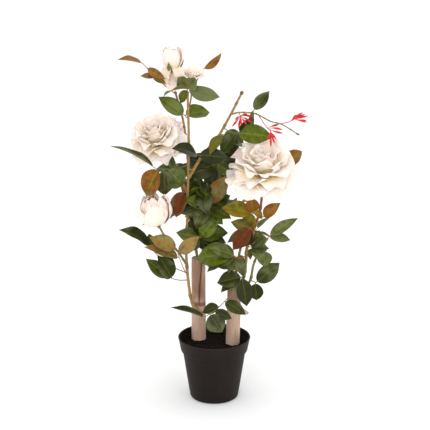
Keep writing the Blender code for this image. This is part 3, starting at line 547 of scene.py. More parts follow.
def plastic_finish(colour):
    net, join = finish("moulded_plastic", 0.16)
    grain = net.noise(900, 2)
    cloud = net.noise(22, 3, stretch=(1, 1, 0.5))
    height = net.node("ShaderNodeTexCoord", output=3).part(2)
    # painted highlight: the top few millimetres of the rolled rim are painted lighter
    tone = net.coats(colour, (linear(62, 48, 40), height.ease(0.1475, 0.1502) * 0.55),
                     (linear(41, 30, 25), cloud.ease(0.45, 0.75) * 0.35))
    return join(Base_Color=tone, Roughness=0.5 + cloud * 0.16,
                Normal=net.bump(grain + cloud * 0.4, 0.25, 0.0003))


def soil_finish(colour):
    net, join = finish("dark_filling", 0.05, Roughness=0.95)
    fine = net.noise(420, 4, 0.7)
    return join(Base_Color=net.coats(colour, (linear(46, 38, 31), fine.ease(0.5, 0.72))),
                Normal=net.bump(fine, 0.6, 0.001))


def wood_finish(colour):
    """Peeled wood, darker above a height, with a stain and a dry split."""
    net, join = finish("peeled_wood", 0.25)
    fibres = net.noise(520, 4, 0.65, (1, 1, 0.05))
    broad = net.noise(70, 4, 0.6, (1, 1, 0.16))
    patch = net.noise(28, 3, stretch=(1, 1, 0.5))
    place = net.node("ShaderNodeTexCoord", output=3)
    height = place.part(2) + broad * 0.012
    # both trunks are painted darker above about 0.21 to 0.25 m
    darker_above = height.ease(0.21, 0.25)
    stain = abs(height - 0.226).ease(0.008, 0.002) * place.part(0).ease(0.01, 0)
    tone = net.coats(colour, (linear(142, 108, 82), darker_above * 0.65),
                     (linear(128, 96, 74), broad.ease(0.44, 0.66) * (0.3 + darker_above * 0.4)),
                     (linear(186, 160, 138), patch.ease(0.5, 0.7) * 0.6),
                     (linear(92, 60, 42), fibres.ease(0.52, 0.76) * 0.7),
                     (linear(96, 62, 46), stain * 0.75),
                     (linear(74, 46, 32), net.attribute("split").ease(0.1, 0.95) * 0.85))
    return join(Base_Color=tone, Roughness=0.72 + fibres * 0.16,
                Normal=net.bump(fibres + broad * 0.7, 0.5, 0.0007))


def dyed_finish(name, specular, rough, grain_scale, contrast):
    """A moulded or coated finish that takes its colour from the piece's dye attribute."""
    net, join = finish(name, specular)
    spots = net.noise(grain_scale, 4, 0.6)
    tone = net.coats(net.attribute("dye", 0), ((0.03, 0.02, 0.01), spots.ease(0.5, 0.78) * contrast),
                     ((1, 0.9, 0.7), spots.ease(0.5, 0.26) * contrast * 0.3))
    return join(Base_Color=tone, Roughness=rough + spots * 0.15, Normal=net.bump(spots, 0.3, 0.0004))


def petal_finish(colour, depth):
    """Soft cloth with a fine weave, blushed and with deeper dye where the petal's attributes say."""
    net, join = finish("petal_cloth", 0.08, Sheen_Weight=0.9, Sheen_Roughness=0.6,
                       Sheen_Tint=(1, 0.94, 0.86, 1), Subsurface_Weight=0.12,
                       Subsurface_Radius=(0.006, 0.004, 0.003), Subsurface_Scale=2.0, Roughness=0.7)
    cloud = net.noise(60, 3)
    spot = net.node("ShaderNodeUVMap", {"uv_map": "UVMap"})
    across, along = (net.math("SINE", spot.part(index) * WEAVE) for index in (0, 1))
    tone = net.coats(colour, ((1.0, 0.925, 0.875), cloud.ease(0.45, 0.7) * 0.5),
                     (linear(248, 222, 206), net.attribute("blush") * 0.75),
                     (depth, net.attribute("depth")))
    return join(Base_Color=tone, Normal=net.bump(across + along + cloud * 6, 0.12, 0.0002))


def leaf_finish(name, vein_colour, vein, rim, heart, heart_share):
    """Printed cloth: the dye is mottled and carries broad pale patches of painted sheen, veins follow the
    blade's own map, the underside is paler.
    """
    net, join = finish(name, 0.14)
    dye, under = net.attribute("dye", 0), net.attribute("under")
    spot = net.node("ShaderNodeUVMap", {"uv_map": "UVMap"})
    across, along = abs(spot.part(0) * 2 - 1), spot.part(1)
    cloud, patch, broad = net.noise(75, 4, 0.6), net.noise(38, 3, 0.55), net.noise(17, 2)
    rib = abs(net.math("FRACT", along * VEIN_PAIRS - across * VEIN_SLANT + cloud * 0.3) - 0.5)
    veins = rib.ease(0.42, 0.5) * across.ease(1.0, 0.5)
    middle = across.ease(0.1, 0.03)
    green = net.node("ShaderNodeSeparateColor", {}, {"Color": dye}, 1).ease(0.02, 0.1)
    shown = green * heart_share + (1 - heart_share)
    tone = net.coats(dye, (heart, (patch + 0.25 - across * 0.4).ease(0.3, 0.72) * green * heart_share),
                     # painted sheen: broad pale grey-green patches laid by noise over the dye
                     (linear(122, 128, 82), (broad + across * 0.12).ease(0.54, 0.74) * 0.5),
                     ((0.01, 0.012, 0.001), cloud.ease(0.42, 0.7) * 0.5),
                     (vein_colour, net.math("MAXIMUM", veins * 0.7, middle) * vein * shown),
                     (rim, across.ease(0.8, 1.0) * 0.22),
                     (net.coats(dye, (linear(128, 132, 92), 0.5)), under * 0.8))
    relief = spot.stretched((26, 60, 1)).clouds(1, 2) * 0.4 + cloud * 0.6 - veins * 0.8 - middle
    return join(Base_Color=tone, Roughness=0.3 + cloud * 0.12 + under * 0.25,
                Normal=net.bump(relief, 0.35, 0.0008))


def floor_finish():
    net, join = finish("pale_floor", 0.1, Roughness=0.9)
    return join(Base_Color=net.coats((0.93, 0.93, 0.93), ((0.95, 0.95, 0.95), net.noise(0.8, 2))))


def placed(name, data):
    """An object at the origin, linked to the scene."""
    thing = bpy.data.objects.new(name, data)
    bpy.context.scene.collection.objects.link(thing)
    return thing


def new_piece(name, mesh, slot, *nodes):
    """A finished piece on the root body that stands for CAD nodes, which it hides. Its slot is not used.
    """
    piece = placed(name, mesh)
    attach(piece, "root")
    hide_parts(*nodes)


def dress(mesh, material, crease=None):
    """Gives a mesh its finish and smooth faces, with edges sharper than crease degrees kept."""
    mesh.materials.append(material)
    mesh.shade_smooth()
    if crease:
        mesh.set_sharp_from_angle(angle=math.radians(crease))
    return mesh


def set_attribute(mesh, name, values, domain="POINT"):
    """A number for each point or face, or a colour where the values have three each."""
    values = np.asarray(values, dtype=np.float32)
    if values.ndim == 2 and values.shape[1] == 3:
        values = np.concatenate([values, np.ones((len(values), 1), np.float32)], axis=1)
        mesh.attributes.new(name, "FLOAT_COLOR", domain).data.foreach_set("color", values.ravel())
    else:
        mesh.attributes.new(name, "FLOAT", domain).data.foreach_set("value", values.ravel())


class Cloth:
    """Thin closed solids gathered for one mesh, each from a grid of its middle surface."""

    def __init__(self):
        self.verts, self.faces, self.under = [], [], []
        self.points = {}
        self.count = 0

    def add(self, grid, thickness, **points):
        """Adds one solid of millimetre points; the values are for each point of the grid."""
        rows, columns = grid.shape[:2]
        inner = np.s_[1:-1, 1:-1]
        normal = np.cross(np.gradient(grid, axis=0), np.gradient(grid, axis=1))
        normal /= np.maximum(np.linalg.norm(normal, axis=2, keepdims=True), 1e-9)
        offset = (normal * thickness[..., None] / 2)[inner]
        top = grid.copy()
        top[inner] += offset
        self.verts += [top.reshape(-1, 3), (grid[inner] - offset).reshape(-1, 3)]
        upper = np.arange(rows * columns).reshape(rows, columns)
        lower = upper.copy()
        inside = (rows - 2) * (columns - 2)
        lower[inner] = (rows * columns + np.arange(inside)).reshape(rows - 2, columns - 2)
        for layer, ids in enumerate((upper, lower)):
            corners = [ids[:-1, :-1], ids[1:, :-1], ids[1:, 1:], ids[:-1, 1:]]
            quads = np.stack(corners[::-1] if layer else corners, axis=-1).reshape(-1, 4) + self.count
            self.faces.append(quads)
            self.under.append(np.full(len(quads), layer))
        for name, values in points.items():
            spread = np.broadcast_to(values, (rows, columns, np.shape(values)[-1]))
            for part in (spread, spread[inner]):
                self.points.setdefault(name, []).append(part.reshape(-1, part.shape[-1]))
        self.count += rows * columns + inside

    def mesh(self, name, material):
        """The mesh of all the solids, with its map across and along each of them."""
        faces = np.concatenate(self.faces)
        mesh = bpy.data.meshes.new(name)
        mesh.from_pydata((np.concatenate(self.verts) * MM).tolist(), [], faces.tolist())
        points = {label: np.concatenate(parts) for label, parts in self.points.items()}
        spots = np.concatenate([(points.pop("across") + 1) / 2, points.pop("along")], axis=1)
        uv = mesh.uv_layers.new(name="UVMap")
        uv.data.foreach_set("uv", spots[faces.ravel()].astype(np.float32).ravel())
        set_attribute(mesh, "under", np.concatenate(self.under), "FACE")
        for label, values in points.items():
            set_attribute(mesh, label, values)
        return dress(mesh, material, CLOTH_CREASE)


def node_group(name, **sockets):
    """The Net of a geometry tree, and its inputs: the geometry, and others of a kind and default."""
    tree = bpy.data.node_groups.new(name, "GeometryNodeTree")
    tree.interface.new_socket("Geometry", in_out="INPUT", socket_type="NodeSocketGeometry")
    for label, (kind, value) in sockets.items():
        socket = tree.interface.new_socket(label, in_out="INPUT", socket_type=f"NodeSocket{kind}")
        if value is not None:
            socket.default_value = value
    tree.interface.new_socket("Geometry", in_out="OUTPUT", socket_type="NodeSocketGeometry")
    source = tree.nodes.new("NodeGroupInput")
    return Net(tree), {socket.name: Net(tree, socket) for socket in source.outputs}


def close_group(net, geometry, material):
    geometry = net.node("GeometryNodeRealizeInstances", {}, {"Geometry": geometry})
    geometry = net.node("GeometryNodeSetMaterial", {}, {"Geometry": geometry, "Material": material})
    net.node("NodeGroupOutput", {}, {"Geometry": geometry})
    return net.tree


def sweep_group():
    """Round limbs along every chain of edges, as thick as the chain's thick attribute says."""
    net, inputs = node_group("limb_sweep", Sides=("Int", 10), Material=("Material", None))
    curve = net.node("GeometryNodeMeshToCurve", {}, {"Mesh": inputs["Geometry"]})
    thick = net.node("GeometryNodeInputNamedAttribute", {"data_type": "FLOAT"}, {"Name": "thick"})
    curve = net.node("GeometryNodeSetCurveRadius", {}, {"Curve": curve, "Radius": thick})
    circle = net.node("GeometryNodeCurvePrimitiveCircle", {"mode": "RADIUS"},
                      {"Resolution": inputs["Sides"], "Radius": 1.0})
    mesh = net.node("GeometryNodeCurveToMesh", {},
                    {"Curve": curve, "Profile Curve": circle, "Scale": thick, "Fill Caps": True})
    mesh = net.node("GeometryNodeSetShadeSmooth", {}, {"Geometry": mesh})
    return close_group(net, mesh, inputs["Material"])


def crumb_group():
    """Crumbs of several sizes scattered on a surface."""
    net, inputs = node_group("crumb_scatter", Density=("Float", 50000.0), Radius=("Float", 0.002),
                             Material=("Material", None))
    points = net.node("GeometryNodeDistributePointsOnFaces", {},
                      {"Mesh": inputs["Geometry"], "Density": inputs["Density"], "Seed": 5})
    crumb = net.node("GeometryNodeMeshIcoSphere", {}, {"Radius": inputs["Radius"], "Subdivisions": 1})
    size, turn = (net.node("FunctionNodeRandomValue", {"data_type": "FLOAT_VECTOR"},
                           {0: least, 1: most, "Seed": seed})
                  for least, most, seed in (((0.3, 0.3, 0.25), (1.0, 0.9, 0.7), 2),
                                            ((0, 0, 0), (6.28, 6.28, 6.28), 3)))
    spread = net.node("GeometryNodeInstanceOnPoints", {},
                      {"Points": points, "Instance": crumb, "Scale": size, "Rotation": turn})
    return close_group(net, spread, inputs["Material"])


def through_nodes(name, mesh, tree, **values):
    """The mesh that a geometry tree makes of another, with the tree's inputs set by name."""
    holder = placed(name, mesh)
    modifier = holder.modifiers.new("grow", "NODES")
    modifier.node_group = tree
    ids = {item.name: item.identifier for item in tree.interface.items_tree if item.in_out == "INPUT"}
    for label, value in values.items():
        modifier[ids[label]] = value
    made = bpy.data.meshes.new_from_object(holder.evaluated_get(bpy.context.evaluated_depsgraph_get()))
    made.name = name
    holder.modifiers.remove(modifier)
    bpy.data.objects.remove(holder)
    return made


def sweep(name, paths, sides, material):
    """One mesh of round limbs; a path is a list of place, radius and dye."""
    verts, edges, thick, dyes = [], [], [], []
    for path in paths:
        edges += [(index, index + 1) for index in range(len(verts), len(verts) + len(path) - 1)]
        for place, radius, dye in path:
            verts.append(tuple(Vector(place) * MM))
            thick.append(radius * MM)
            dyes.append(dye)
    mesh = bpy.data.meshes.new(f"{name}_paths")
    mesh.from_pydata(verts, edges, [])
    set_attribute(mesh, "thick", thick)
    set_attribute(mesh, "dye", dyes)
    return through_nodes(name, mesh, sweep_group(), Sides=sides, Material=material)


def direction(lean, fore):
    """Unit vector that leans to the right by lean and comes forward by fore, in degrees."""
    lean, fore = math.radians(lean), math.radians(fore)
    return Vector((math.sin(lean) * math.cos(fore), -math.sin(fore), math.cos(lean) * math.cos(fore)))


def angles(way):
    """Lean and fore of a unit vector, the other way round from direction."""
    return math.degrees(math.atan2(way.x, way.z)), math.degrees(math.asin(-way.y))


def blend(start, end, share):
    return start + (end - start) * share


def smooth_route(points, steps):
    """Points of a smooth curve that passes through all the given ones."""
    points = [Vector(point) for point in points]
    ends = [2 * points[0] - points[1], *points, 2 * points[-1] - points[-2]]
    route = [points[0]]
    for before, start, end, after in zip(ends, ends[1:], ends[2:], ends[3:]):
        for step in range(1, steps + 1):
            t = step / steps
            bend = 2 * before - 5 * start + 4 * end - after
            twist = 3 * start - before - 3 * end + after
            route.append(0.5 * (2 * start + (end - before) * t + bend * t * t + twist * t * t * t))
    return route


class Limb:
    """A tapering limb along a smooth route, in millimetres."""

    def __init__(self, route, foot_radius, tip_radius):
        self.route = route
        last = len(route) - 1
        self.radii = [blend(foot_radius, tip_radius, step / last) for step in range(last + 1)]

    def at(self, where):
        """Place, way and radius at a height, or at a share of the limb's stretches under one."""
        if where < 1:
            reach = where * (len(self.route) - 1)
            return self.between(int(reach), reach - int(reach))
        for index, (low, high) in enumerate(zip(self.route, self.route[1:])):
            if low.z <= where <= high.z:
                return self.between(index, (where - low.z) / (high.z - low.z))
        raise ValueError(f"no point of the limb is at {where}")

    def between(self, index, share):
        low, high = self.route[index], self.route[index + 1]
        return low.lerp(high, share), (high - low).normalized(), self.radii[index]

    def tip(self):
        return self.route[-1], (self.route[-1] - self.route[-2]).normalized(), self.radii[-1]

    def beside(self, where, way, radius):
        """Where a thinner limb that leaves this one has its foot, clear of the surface."""
        place, along, own = self.at(where)
        slant = abs(way.dot(along))
        return place + way * (own * FACET + CLEAR + radius * slant) / math.sqrt(1 - slant * slant)

    def beyond(self, way, radius):
        """Where a limb that goes on from this one's tip has its foot."""
        tip, along, _ = self.tip()
        return tip + along * (CLEAR + radius * math.sqrt(max(0, 1 - way.dot(along) ** 2)))


def stem_points(stem, limbs):
    """The stem's route with its foot clear of the stem or of the trunk top that it starts on."""
    if stem.parent in TRUNKS:
        (across, back), *rest = stem.route
        top = TRUNKS[stem.parent][1][2] + CLEAR
        way = (Vector(rest[0]) - Vector((across, back, top))).normalized()
        lift = stem.foot_radius * math.sqrt(1 - way.z * way.z) * 1.1
        return [Vector((across, back, top + lift)), *(Vector(point) for point in rest)]
    points = [Vector(point) for point in stem.route]
    if stem.parent:
        parent = limbs[stem.parent]
        way = (points[0] - parent.at(stem.start)[0]).normalized()
        points.insert(0, parent.beside(stem.start, way, stem.foot_radius))
    return points


# The coarse limbs that the solids have, which carry the sprays and blooms
LIMBS = {}
for carrier in STEMS:
    LIMBS[carrier.name] = Limb(smooth_route(stem_points(carrier, LIMBS), ROUTE_STEPS),
                               carrier.foot_radius, carrier.tip_radius)


class Solid:
    """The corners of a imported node, to find which turn or size its rule took."""

    def __init__(self, node):
        mesh = frame["nodes"][node].data
        self.tree = KDTree(len(mesh.vertices))
        for index, vertex in enumerate(mesh.vertices):
            self.tree.insert(vertex.co / MM, index)
        self.tree.balance()

    def has(self, place):
        return self.tree.find(place)[2] < SAME_PLACE


def lofted(name, rings, top, foot=None):
    """A closed mesh through rings that climb its outside to a point.

    Its foot is a point where one is given, and otherwise one flat face.
    """
    steps = len(rings[0])
    verts = [*(place for ring in rings for place in ring), top]
    last = (len(rings) - 1) * steps
    after = [*range(1, steps), 0]
    faces = [(low + step, low + after[step], low + steps + after[step], low + steps + step)
             for low in range(0, last, steps) for step in range(steps)]
    faces += [(last + step, last + after[step], last + steps) for step in range(steps)]
    if foot:
        faces += [(after[step], step, len(verts)) for step in range(steps)]
        verts.append(foot)
    else:
        faces.append(tuple(reversed(range(steps))))
    mesh = bpy.data.meshes.new(name)
    mesh.from_pydata([tuple(value * MM for value in place) for place in verts], [], faces)
    return mesh


def turned(profile, steps, name):
    """A closed mesh turned from a profile of radius and height that starts and ends on the axis."""
    turns = [2 * math.pi * step / steps for step in range(steps)]
    rings = [[(radius * math.cos(turn), radius * math.sin(turn), height) for turn in turns]
             for radius, height in profile[1:-1]]
    return lofted(name, rings, (0, 0, profile[-1][1]), (0, 0, profile[0][1]))


def arc(centre, radius, first, last, steps):
    """Points of an arc in a profile, with angles in degrees."""
    turns = [math.radians(blend(first, last, step / steps)) for step in range(steps + 1)]
    return [(centre[0] + radius * math.cos(turn), centre[1] + radius * math.sin(turn)) for turn in turns]


def wall_point(height, inset, lift=0):
    """Radius of the pot's outside at a height, less the inset, and the height with its lift."""
    if height >= BAND_FOOT:
        width = blend(BAND_FOOT_WIDTH, RIM_WIDTH, (height - BAND_FOOT) / BAND_HEIGHT)
    else:
        width = blend(BASE_WIDTH, BAND_FOOT_WIDTH - 2 * BAND_STEP, height / BAND_FOOT)
    return width / 2 - inset, height + lift


def pot_profile():
    """The pot's wall from the underside up, over the rolled rim and down to the floor inside."""
    body_top = BAND_FOOT - 1
    foot = BASE_WIDTH / 2 + 0.6
    floor_edge = wall_point(FLOOR, WALL)[0] - 2
    return [(0, 0), (foot - FOOT_ROUND - 3, 0),
            *arc((foot - FOOT_ROUND, FOOT_ROUND), FOOT_ROUND, -90, 0, 8),
            *(wall_point(height, 0) for height in (20, 35, 55, 75, 95)),
            *arc((wall_point(body_top, -1.2)[0], body_top - 0.6), 1.2, 180, 90, 4),
            *arc((wall_point(BAND_FOOT, 2.6)[0], BAND_FOOT + 2.4), 2.4, -90, -5, 5),
            wall_point(BAND_FOOT + 4, 0.1),
            wall_point(POT_HEIGHT - 5, 0.25), wall_point(POT_HEIGHT - 4, -0.1),
            *arc((RIM_WIDTH / 2 - RIM_ROUND, POT_HEIGHT - RIM_ROUND), RIM_ROUND, -10, 150, 8),
            wall_point(POT_HEIGHT, WALL, -2.2),
            wall_point(BAND_FOOT + 4, WALL, 2), wall_point(body_top, WALL, 2),
            wall_point(FLOOR + 2, WALL), (floor_edge, FLOOR), (0, FLOOR)]


class RoseBushOperator:
    """What every operator of the bush shares."""

    bl_options = {"REGISTER", "UNDO"}

    def execute(self, context):
        self.make(context.scene.rose_bush_pot, context.scene.rose_bush_cloth)
        return {"FINISHED"}


class ROSEBUSH_OT_stage(RoseBushOperator, bpy.types.Operator):
    """Add the camera, the pale floor and the soft lights"""

    bl_idname = "rose_bush.stage"
    bl_label = "Stage"

    def make(self, pot, cloth):
        scene = bpy.context.scene
        camera = bpy.data.cameras.new("camera")
        camera.sensor_width = SENSOR
        camera.lens = FOCAL_SHARE * SENSOR
        camera.clip_end = 100
        scene.camera = placed("camera", camera)
        scene.camera.matrix_world = (Matrix.Translation(CAMERA_PLACE)
                                     @ Matrix.Rotation(math.radians(90 - CAMERA_PITCH), 4, "X"))
        mesh = bpy.data.meshes.new("floor")
        reach = FLOOR_REACH
        corners = [(-reach, -reach, 0), (reach, -reach, 0), (reach, reach, 0), (-reach, reach, 0)]
        mesh.from_pydata(corners, [], [(0, 1, 2, 3)])
        mesh.materials.append(floor_finish())
        placed("floor", mesh)
        scene.world = bpy.data.worlds.new("studio")
        scene.world.use_nodes = True
        background = scene.world.node_tree.nodes["Background"].inputs
        background["Color"].default_value = (1, 1, 1, 1)
        background["Strength"].default_value = WORLD_STRENGTH
        scene.view_settings.view_transform = "Standard"
        for name, (place, size, power) in LIGHTS.items():
            light = bpy.data.lights.new(name, "AREA")
            light.shape, light.size, light.energy = "DISK", size, power
            holder = placed(name, light)
            holder.location = place
            aim = Vector(LIT_POINT) - Vector(place)
            holder.rotation_euler = aim.to_track_quat("-Z", "Y").to_euler()


class ROSEBUSH_OT_pot(RoseBushOperator, bpy.types.Operator):
    """Turn the nursery pot with its band and rolled rim"""

    bl_idname = "rose_bush.pot"
    bl_label = "Pot"

    def make(self, pot, cloth):
        mesh = turned(pot_profile(), POT_STEPS, "nursery_pot")
        new_piece("nursery_pot", dress(mesh, plastic_finish(pot.plastic), POT_CREASE), "pot", "pot")


class ROSEBUSH_OT_filling(RoseBushOperator, bpy.types.Operator):
    """Fill the pot with dark crumbly soil"""

    bl_idname = "rose_bush.filling"
    bl_label = "Filling"

    def make(self, pot, cloth):
        material = soil_finish(pot.soil)
        top = POT_HEIGHT - FILL_BELOW_RIM
        gap = WALL + CLEAR
        edge = wall_point(top, gap)[0]
        profile = [(0, FLOOR + CLEAR), (wall_point(FLOOR, gap)[0] - 2, FLOOR + CLEAR),
                   wall_point(FLOOR + 2, gap), wall_point(115, gap, 2), wall_point(120, gap, 2.5)]
        profile += [(edge * share, top - 1.2) for share in np.linspace(1, 0, FILLING_RINGS)]
        mesh = turned(profile, FILLING_STEPS, "filling")
        for vertex in mesh.vertices:
            if vertex.co.z > (top - 2) * MM:
                lump = sum(noise.noise(vertex.co * scale) * height for scale, height in LUMPS)
                vertex.co.z += lump * MM
        new_piece("filling_top", dress(mesh, material), "filling", "filling")
        surface = bpy.data.meshes.new("surface")
        turns = [2 * math.pi * step / CRUMB_STEPS for step in range(CRUMB_STEPS)]
        reach = (edge - 3) * MM
        surface.from_pydata([(math.cos(turn) * reach, math.sin(turn) * reach, (top - 0.8) * MM)
                             for turn in turns], [], [range(CRUMB_STEPS)])
        crumbs = through_nodes("filling_crumbs", surface, crumb_group(), Density=pot.crumb_density,
                               Radius=pot.crumb, Material=material)
        new_piece("filling_crumbs", crumbs, "filling", "filling")


class ROSEBUSH_OT_trunks(RoseBushOperator, bpy.types.Operator):
    """Raise the two peeled trunks with their furrows and the dry split"""

    bl_idname = "rose_bush.trunks"
    bl_label = "Trunks"

    def make(self, pot, cloth):
        material = wood_finish(pot.wood)
        for number, name in enumerate(TRUNKS):
            mesh = self.trunk(number, name, pot.bark_relief / MM)
            new_piece(f"bark_{name}", dress(mesh, material, BARK_CREASE), "wood", name)
        start, end, start_radius, end_radius = STUB
        path = []
        for step in range(9):
            share = step / 8
            place = (Vector(start) - Vector((6, 0, -2))).lerp(Vector(end), share)
            place.z += 2.0 * math.sin(math.pi * share)
            radius = blend(start_radius, end_radius, share) + 0.5 * noise.noise(place * 0.2)
            path.append((place, radius if step < 8 else radius * 0.8, (1, 1, 1)))
        stub = sweep("bark_stub", [path], 14, material)
        set_attribute(stub, "split", np.zeros(len(stub.vertices)))
        new_piece("bark_stub", stub, "wood", "trunk_right")

    def trunk(self, number, name, relief):
        """A trunk's furrowed side and its sawn top."""
        foot, top, foot_radius, top_radius = TRUNKS[name]
        foot, top = Vector((*foot, GROUND - SUNK)), Vector(top)
        rings, split = [], []
        for row in range(TRUNK_ROWS + 1):
            share = row / TRUNK_ROWS
            centre = foot.lerp(top, share)
            rings.append([])
            for side in range(TRUNK_SIDES):
                turn = 2 * math.pi * side / TRUNK_SIDES
                out = Vector((math.cos(turn), math.sin(turn), 0))
                crack = self.crack(turn, centre.z) if number == 0 else 0.0
                furrow = self.furrow(out, centre.z, number) * relief - CRACK_DEPTH * crack
                rings[-1].append(centre + (blend(foot_radius, top_radius, share) + furrow) * out)
                split.append(crack)
        for share, lumps, dark in ((0.93, 0.1, 0.25), (0.6, 0.3, 0.12), (0.3, 0.3, 0.12)):
            rings.append([top.lerp(edge, share) for edge in rings[TRUNK_ROWS]])
            for place in rings[-1]:
                place.z = top.z + lumps * noise.noise(place * 0.3 + Vector((9 * number, 0, 0)))
                split.append(dark)
        mesh = lofted(name, rings, top)
        set_attribute(mesh, "split", [*split, 0.5])
        return mesh

    def furrow(self, out, height, number):
        """How far the surface stands out or in, as a share of the relief."""
        broad = noise.noise((out * 1.6 + UP * (height * 0.012 + 7 * number)) * 1.2)
        ribs = noise.noise(out * 5 + UP * (height * 0.02 + 3 * number))
        fine = noise.noise(out * 16 + UP * height * 0.05)
        return 0.5 * broad + 0.45 * ribs + 0.25 * fine - 0.4

    def crack(self, turn, height):
        """How deep and dark the dry split is."""
        middle = math.radians(-72 + 7 * math.sin(height * 0.045)) + 0.0016 * (height - 280)
        away = abs((turn - middle + math.pi) % (2 * math.pi) - math.pi)
        width = 0.16 + 0.10 * math.sin((height - 200) * 0.03) ** 2
        shut = min(1, max(0, (height - 205) / 30)) * min(1, max(0, (352 - height) / 40))
        return max(0.0, 1 - (away / width) ** 2) * shut


class ROSEBUSH_OT_stems(RoseBushOperator, bpy.types.Operator):
    """Sweep the moulded stems with their joints and buds"""

    bl_idname = "rose_bush.stems"
    bl_label = "Stems"

    def make(self, pot, cloth):
        material = dyed_finish("moulded_stem", 0.4, 0.5, 160, 0.5)
        mesh = sweep("moulded_stems", [self.path(stem) for stem in STEMS], 16, material)
        new_piece("moulded_stems", mesh, "stem", *(stem.name for stem in STEMS))

    def path(self, stem):
        rng = random.Random(stem.name)
        route = smooth_route(stem_points(stem, LIMBS), FINE_STEPS)
        route = route[:1] + [place for low, high in zip(route, route[1:])
                             for place in (low.lerp(high, 0.5), high)]
        spacing = rng.uniform(*JOINT_SPACING)
        path = []
        for step, place in enumerate(route):
            share = step / (len(route) - 1)
            joint = math.exp(-(((step + 5) % spacing) - spacing / 2) ** 2 / 1.6)
            radius = blend(stem.foot_radius, stem.tip_radius, share)
            radius *= 1 + 0.3 * joint + 0.07 * noise.noise(place * 0.08)
            if stem.name == "stem_tall":
                radius *= min(1, 0.5 + share * 9)
            path.append((place, radius * STEM_SLIM, self.dye(stem.name, share, joint)))
        tip, way = route[-1], (route[-1] - route[-2]).normalized()
        end = [(tip + way * reach, size, BUD_BROWN) for reach, size in TIP_BUDS.get(stem.name, ())]
        return self.foot(stem, path) + path + (end or [(tip + way * 3, path[-1][1] * 0.9, path[-1][2])])

    def foot(self, stem, path):
        """Points inside what carries the stem, so that it grows out of it."""
        place, radius, dye = path[0]
        if stem.parent in TRUNKS:
            return [(place - UP * 7, radius, dye)]
        if stem.parent:
            centre = LIMBS[stem.parent].at(stem.start)[0]
            return [(centre, radius, dye), (centre.lerp(place, 0.5), radius * 1.15, dye)]
        return [(place + Vector(INTO_TRUNK[stem.name]), radius, dye)]

    def dye(self, name, share, joint):
        low, high = STEM_DYES.get(name, (STEM_TAN, STEM_TAN))
        mixed = Vector(low).lerp(Vector(high), min(1, max(0, share * 1.6 - 0.3)))
        return tuple(mixed.lerp(Vector(BUD_BROWN), 0.45 * joint))


def axis_frame(origin, way):
    """A frame at a place whose Z runs along a way and whose X keeps to the right."""
    side = (Vector((1, 0, 0)) - way * way.x).normalized()
    framed = Matrix((side, way.cross(side), way)).transposed().to_4x4()
    framed.translation = origin
    return framed


def bloom_frame(bloom):
    """The frame of a bloom whose calyx sits on its stem's tip."""
    tip, way, _ = LIMBS[bloom.stem].tip()
    return axis_frame(tip + way * (CALYX_RADIUS + CLEAR), direction(bloom.lean, bloom.fore))


def petal_grid(ring, across, along, wave, crinkle=None):
    """A petal's points, in a frame whose Z is the bloom's axis and whose X is the petal's middle."""
    start, end = math.radians(ring.start), math.radians(ring.end)
    reach = along * (1 - EDGE_FALL * np.abs(across) ** 2.6)
    if crinkle is not None:
        reach = reach * (1 - SCALLOP * along ** 4 * (1 + np.sin(across * 8 + 3 * wave)))
    angle = start + (end - start) * reach
    bend_radius = ring.length / (end - start)
    out = PETAL_FOOT + bend_radius * (math.cos(start) - np.cos(angle))
    high = ring.rise + bend_radius * (np.sin(angle) - math.sin(start))
    half = ring.width / 2 * (0.28 + 0.72 * np.sin(math.pi / 2 * np.minimum(1, along / 0.7)))
    turn = half * across / ring.cup
    lift = ring.cup * (1 - np.cos(turn))
    lift = lift + ring.ruffle * along ** 3 * np.sin(2.3 * math.pi * across + wave)
    lift = lift - ring.roll * np.maximum(0, reach - 0.6) ** 2 * 6
    lift = lift + PETAL_TWIST * half * across * along
    if crinkle is not None:
        lift = lift + crinkle
    side = ring.cup * np.sin(turn) + 0 * along
    return np.stack([out - np.cos(angle) * lift, side, high + np.sin(angle) * lift], axis=-1)


def moved(grid, matrix):
    """A grid of points put in place by a matrix."""
    return grid @ np.array(matrix.to_3x3()).T + np.array(matrix.translation)


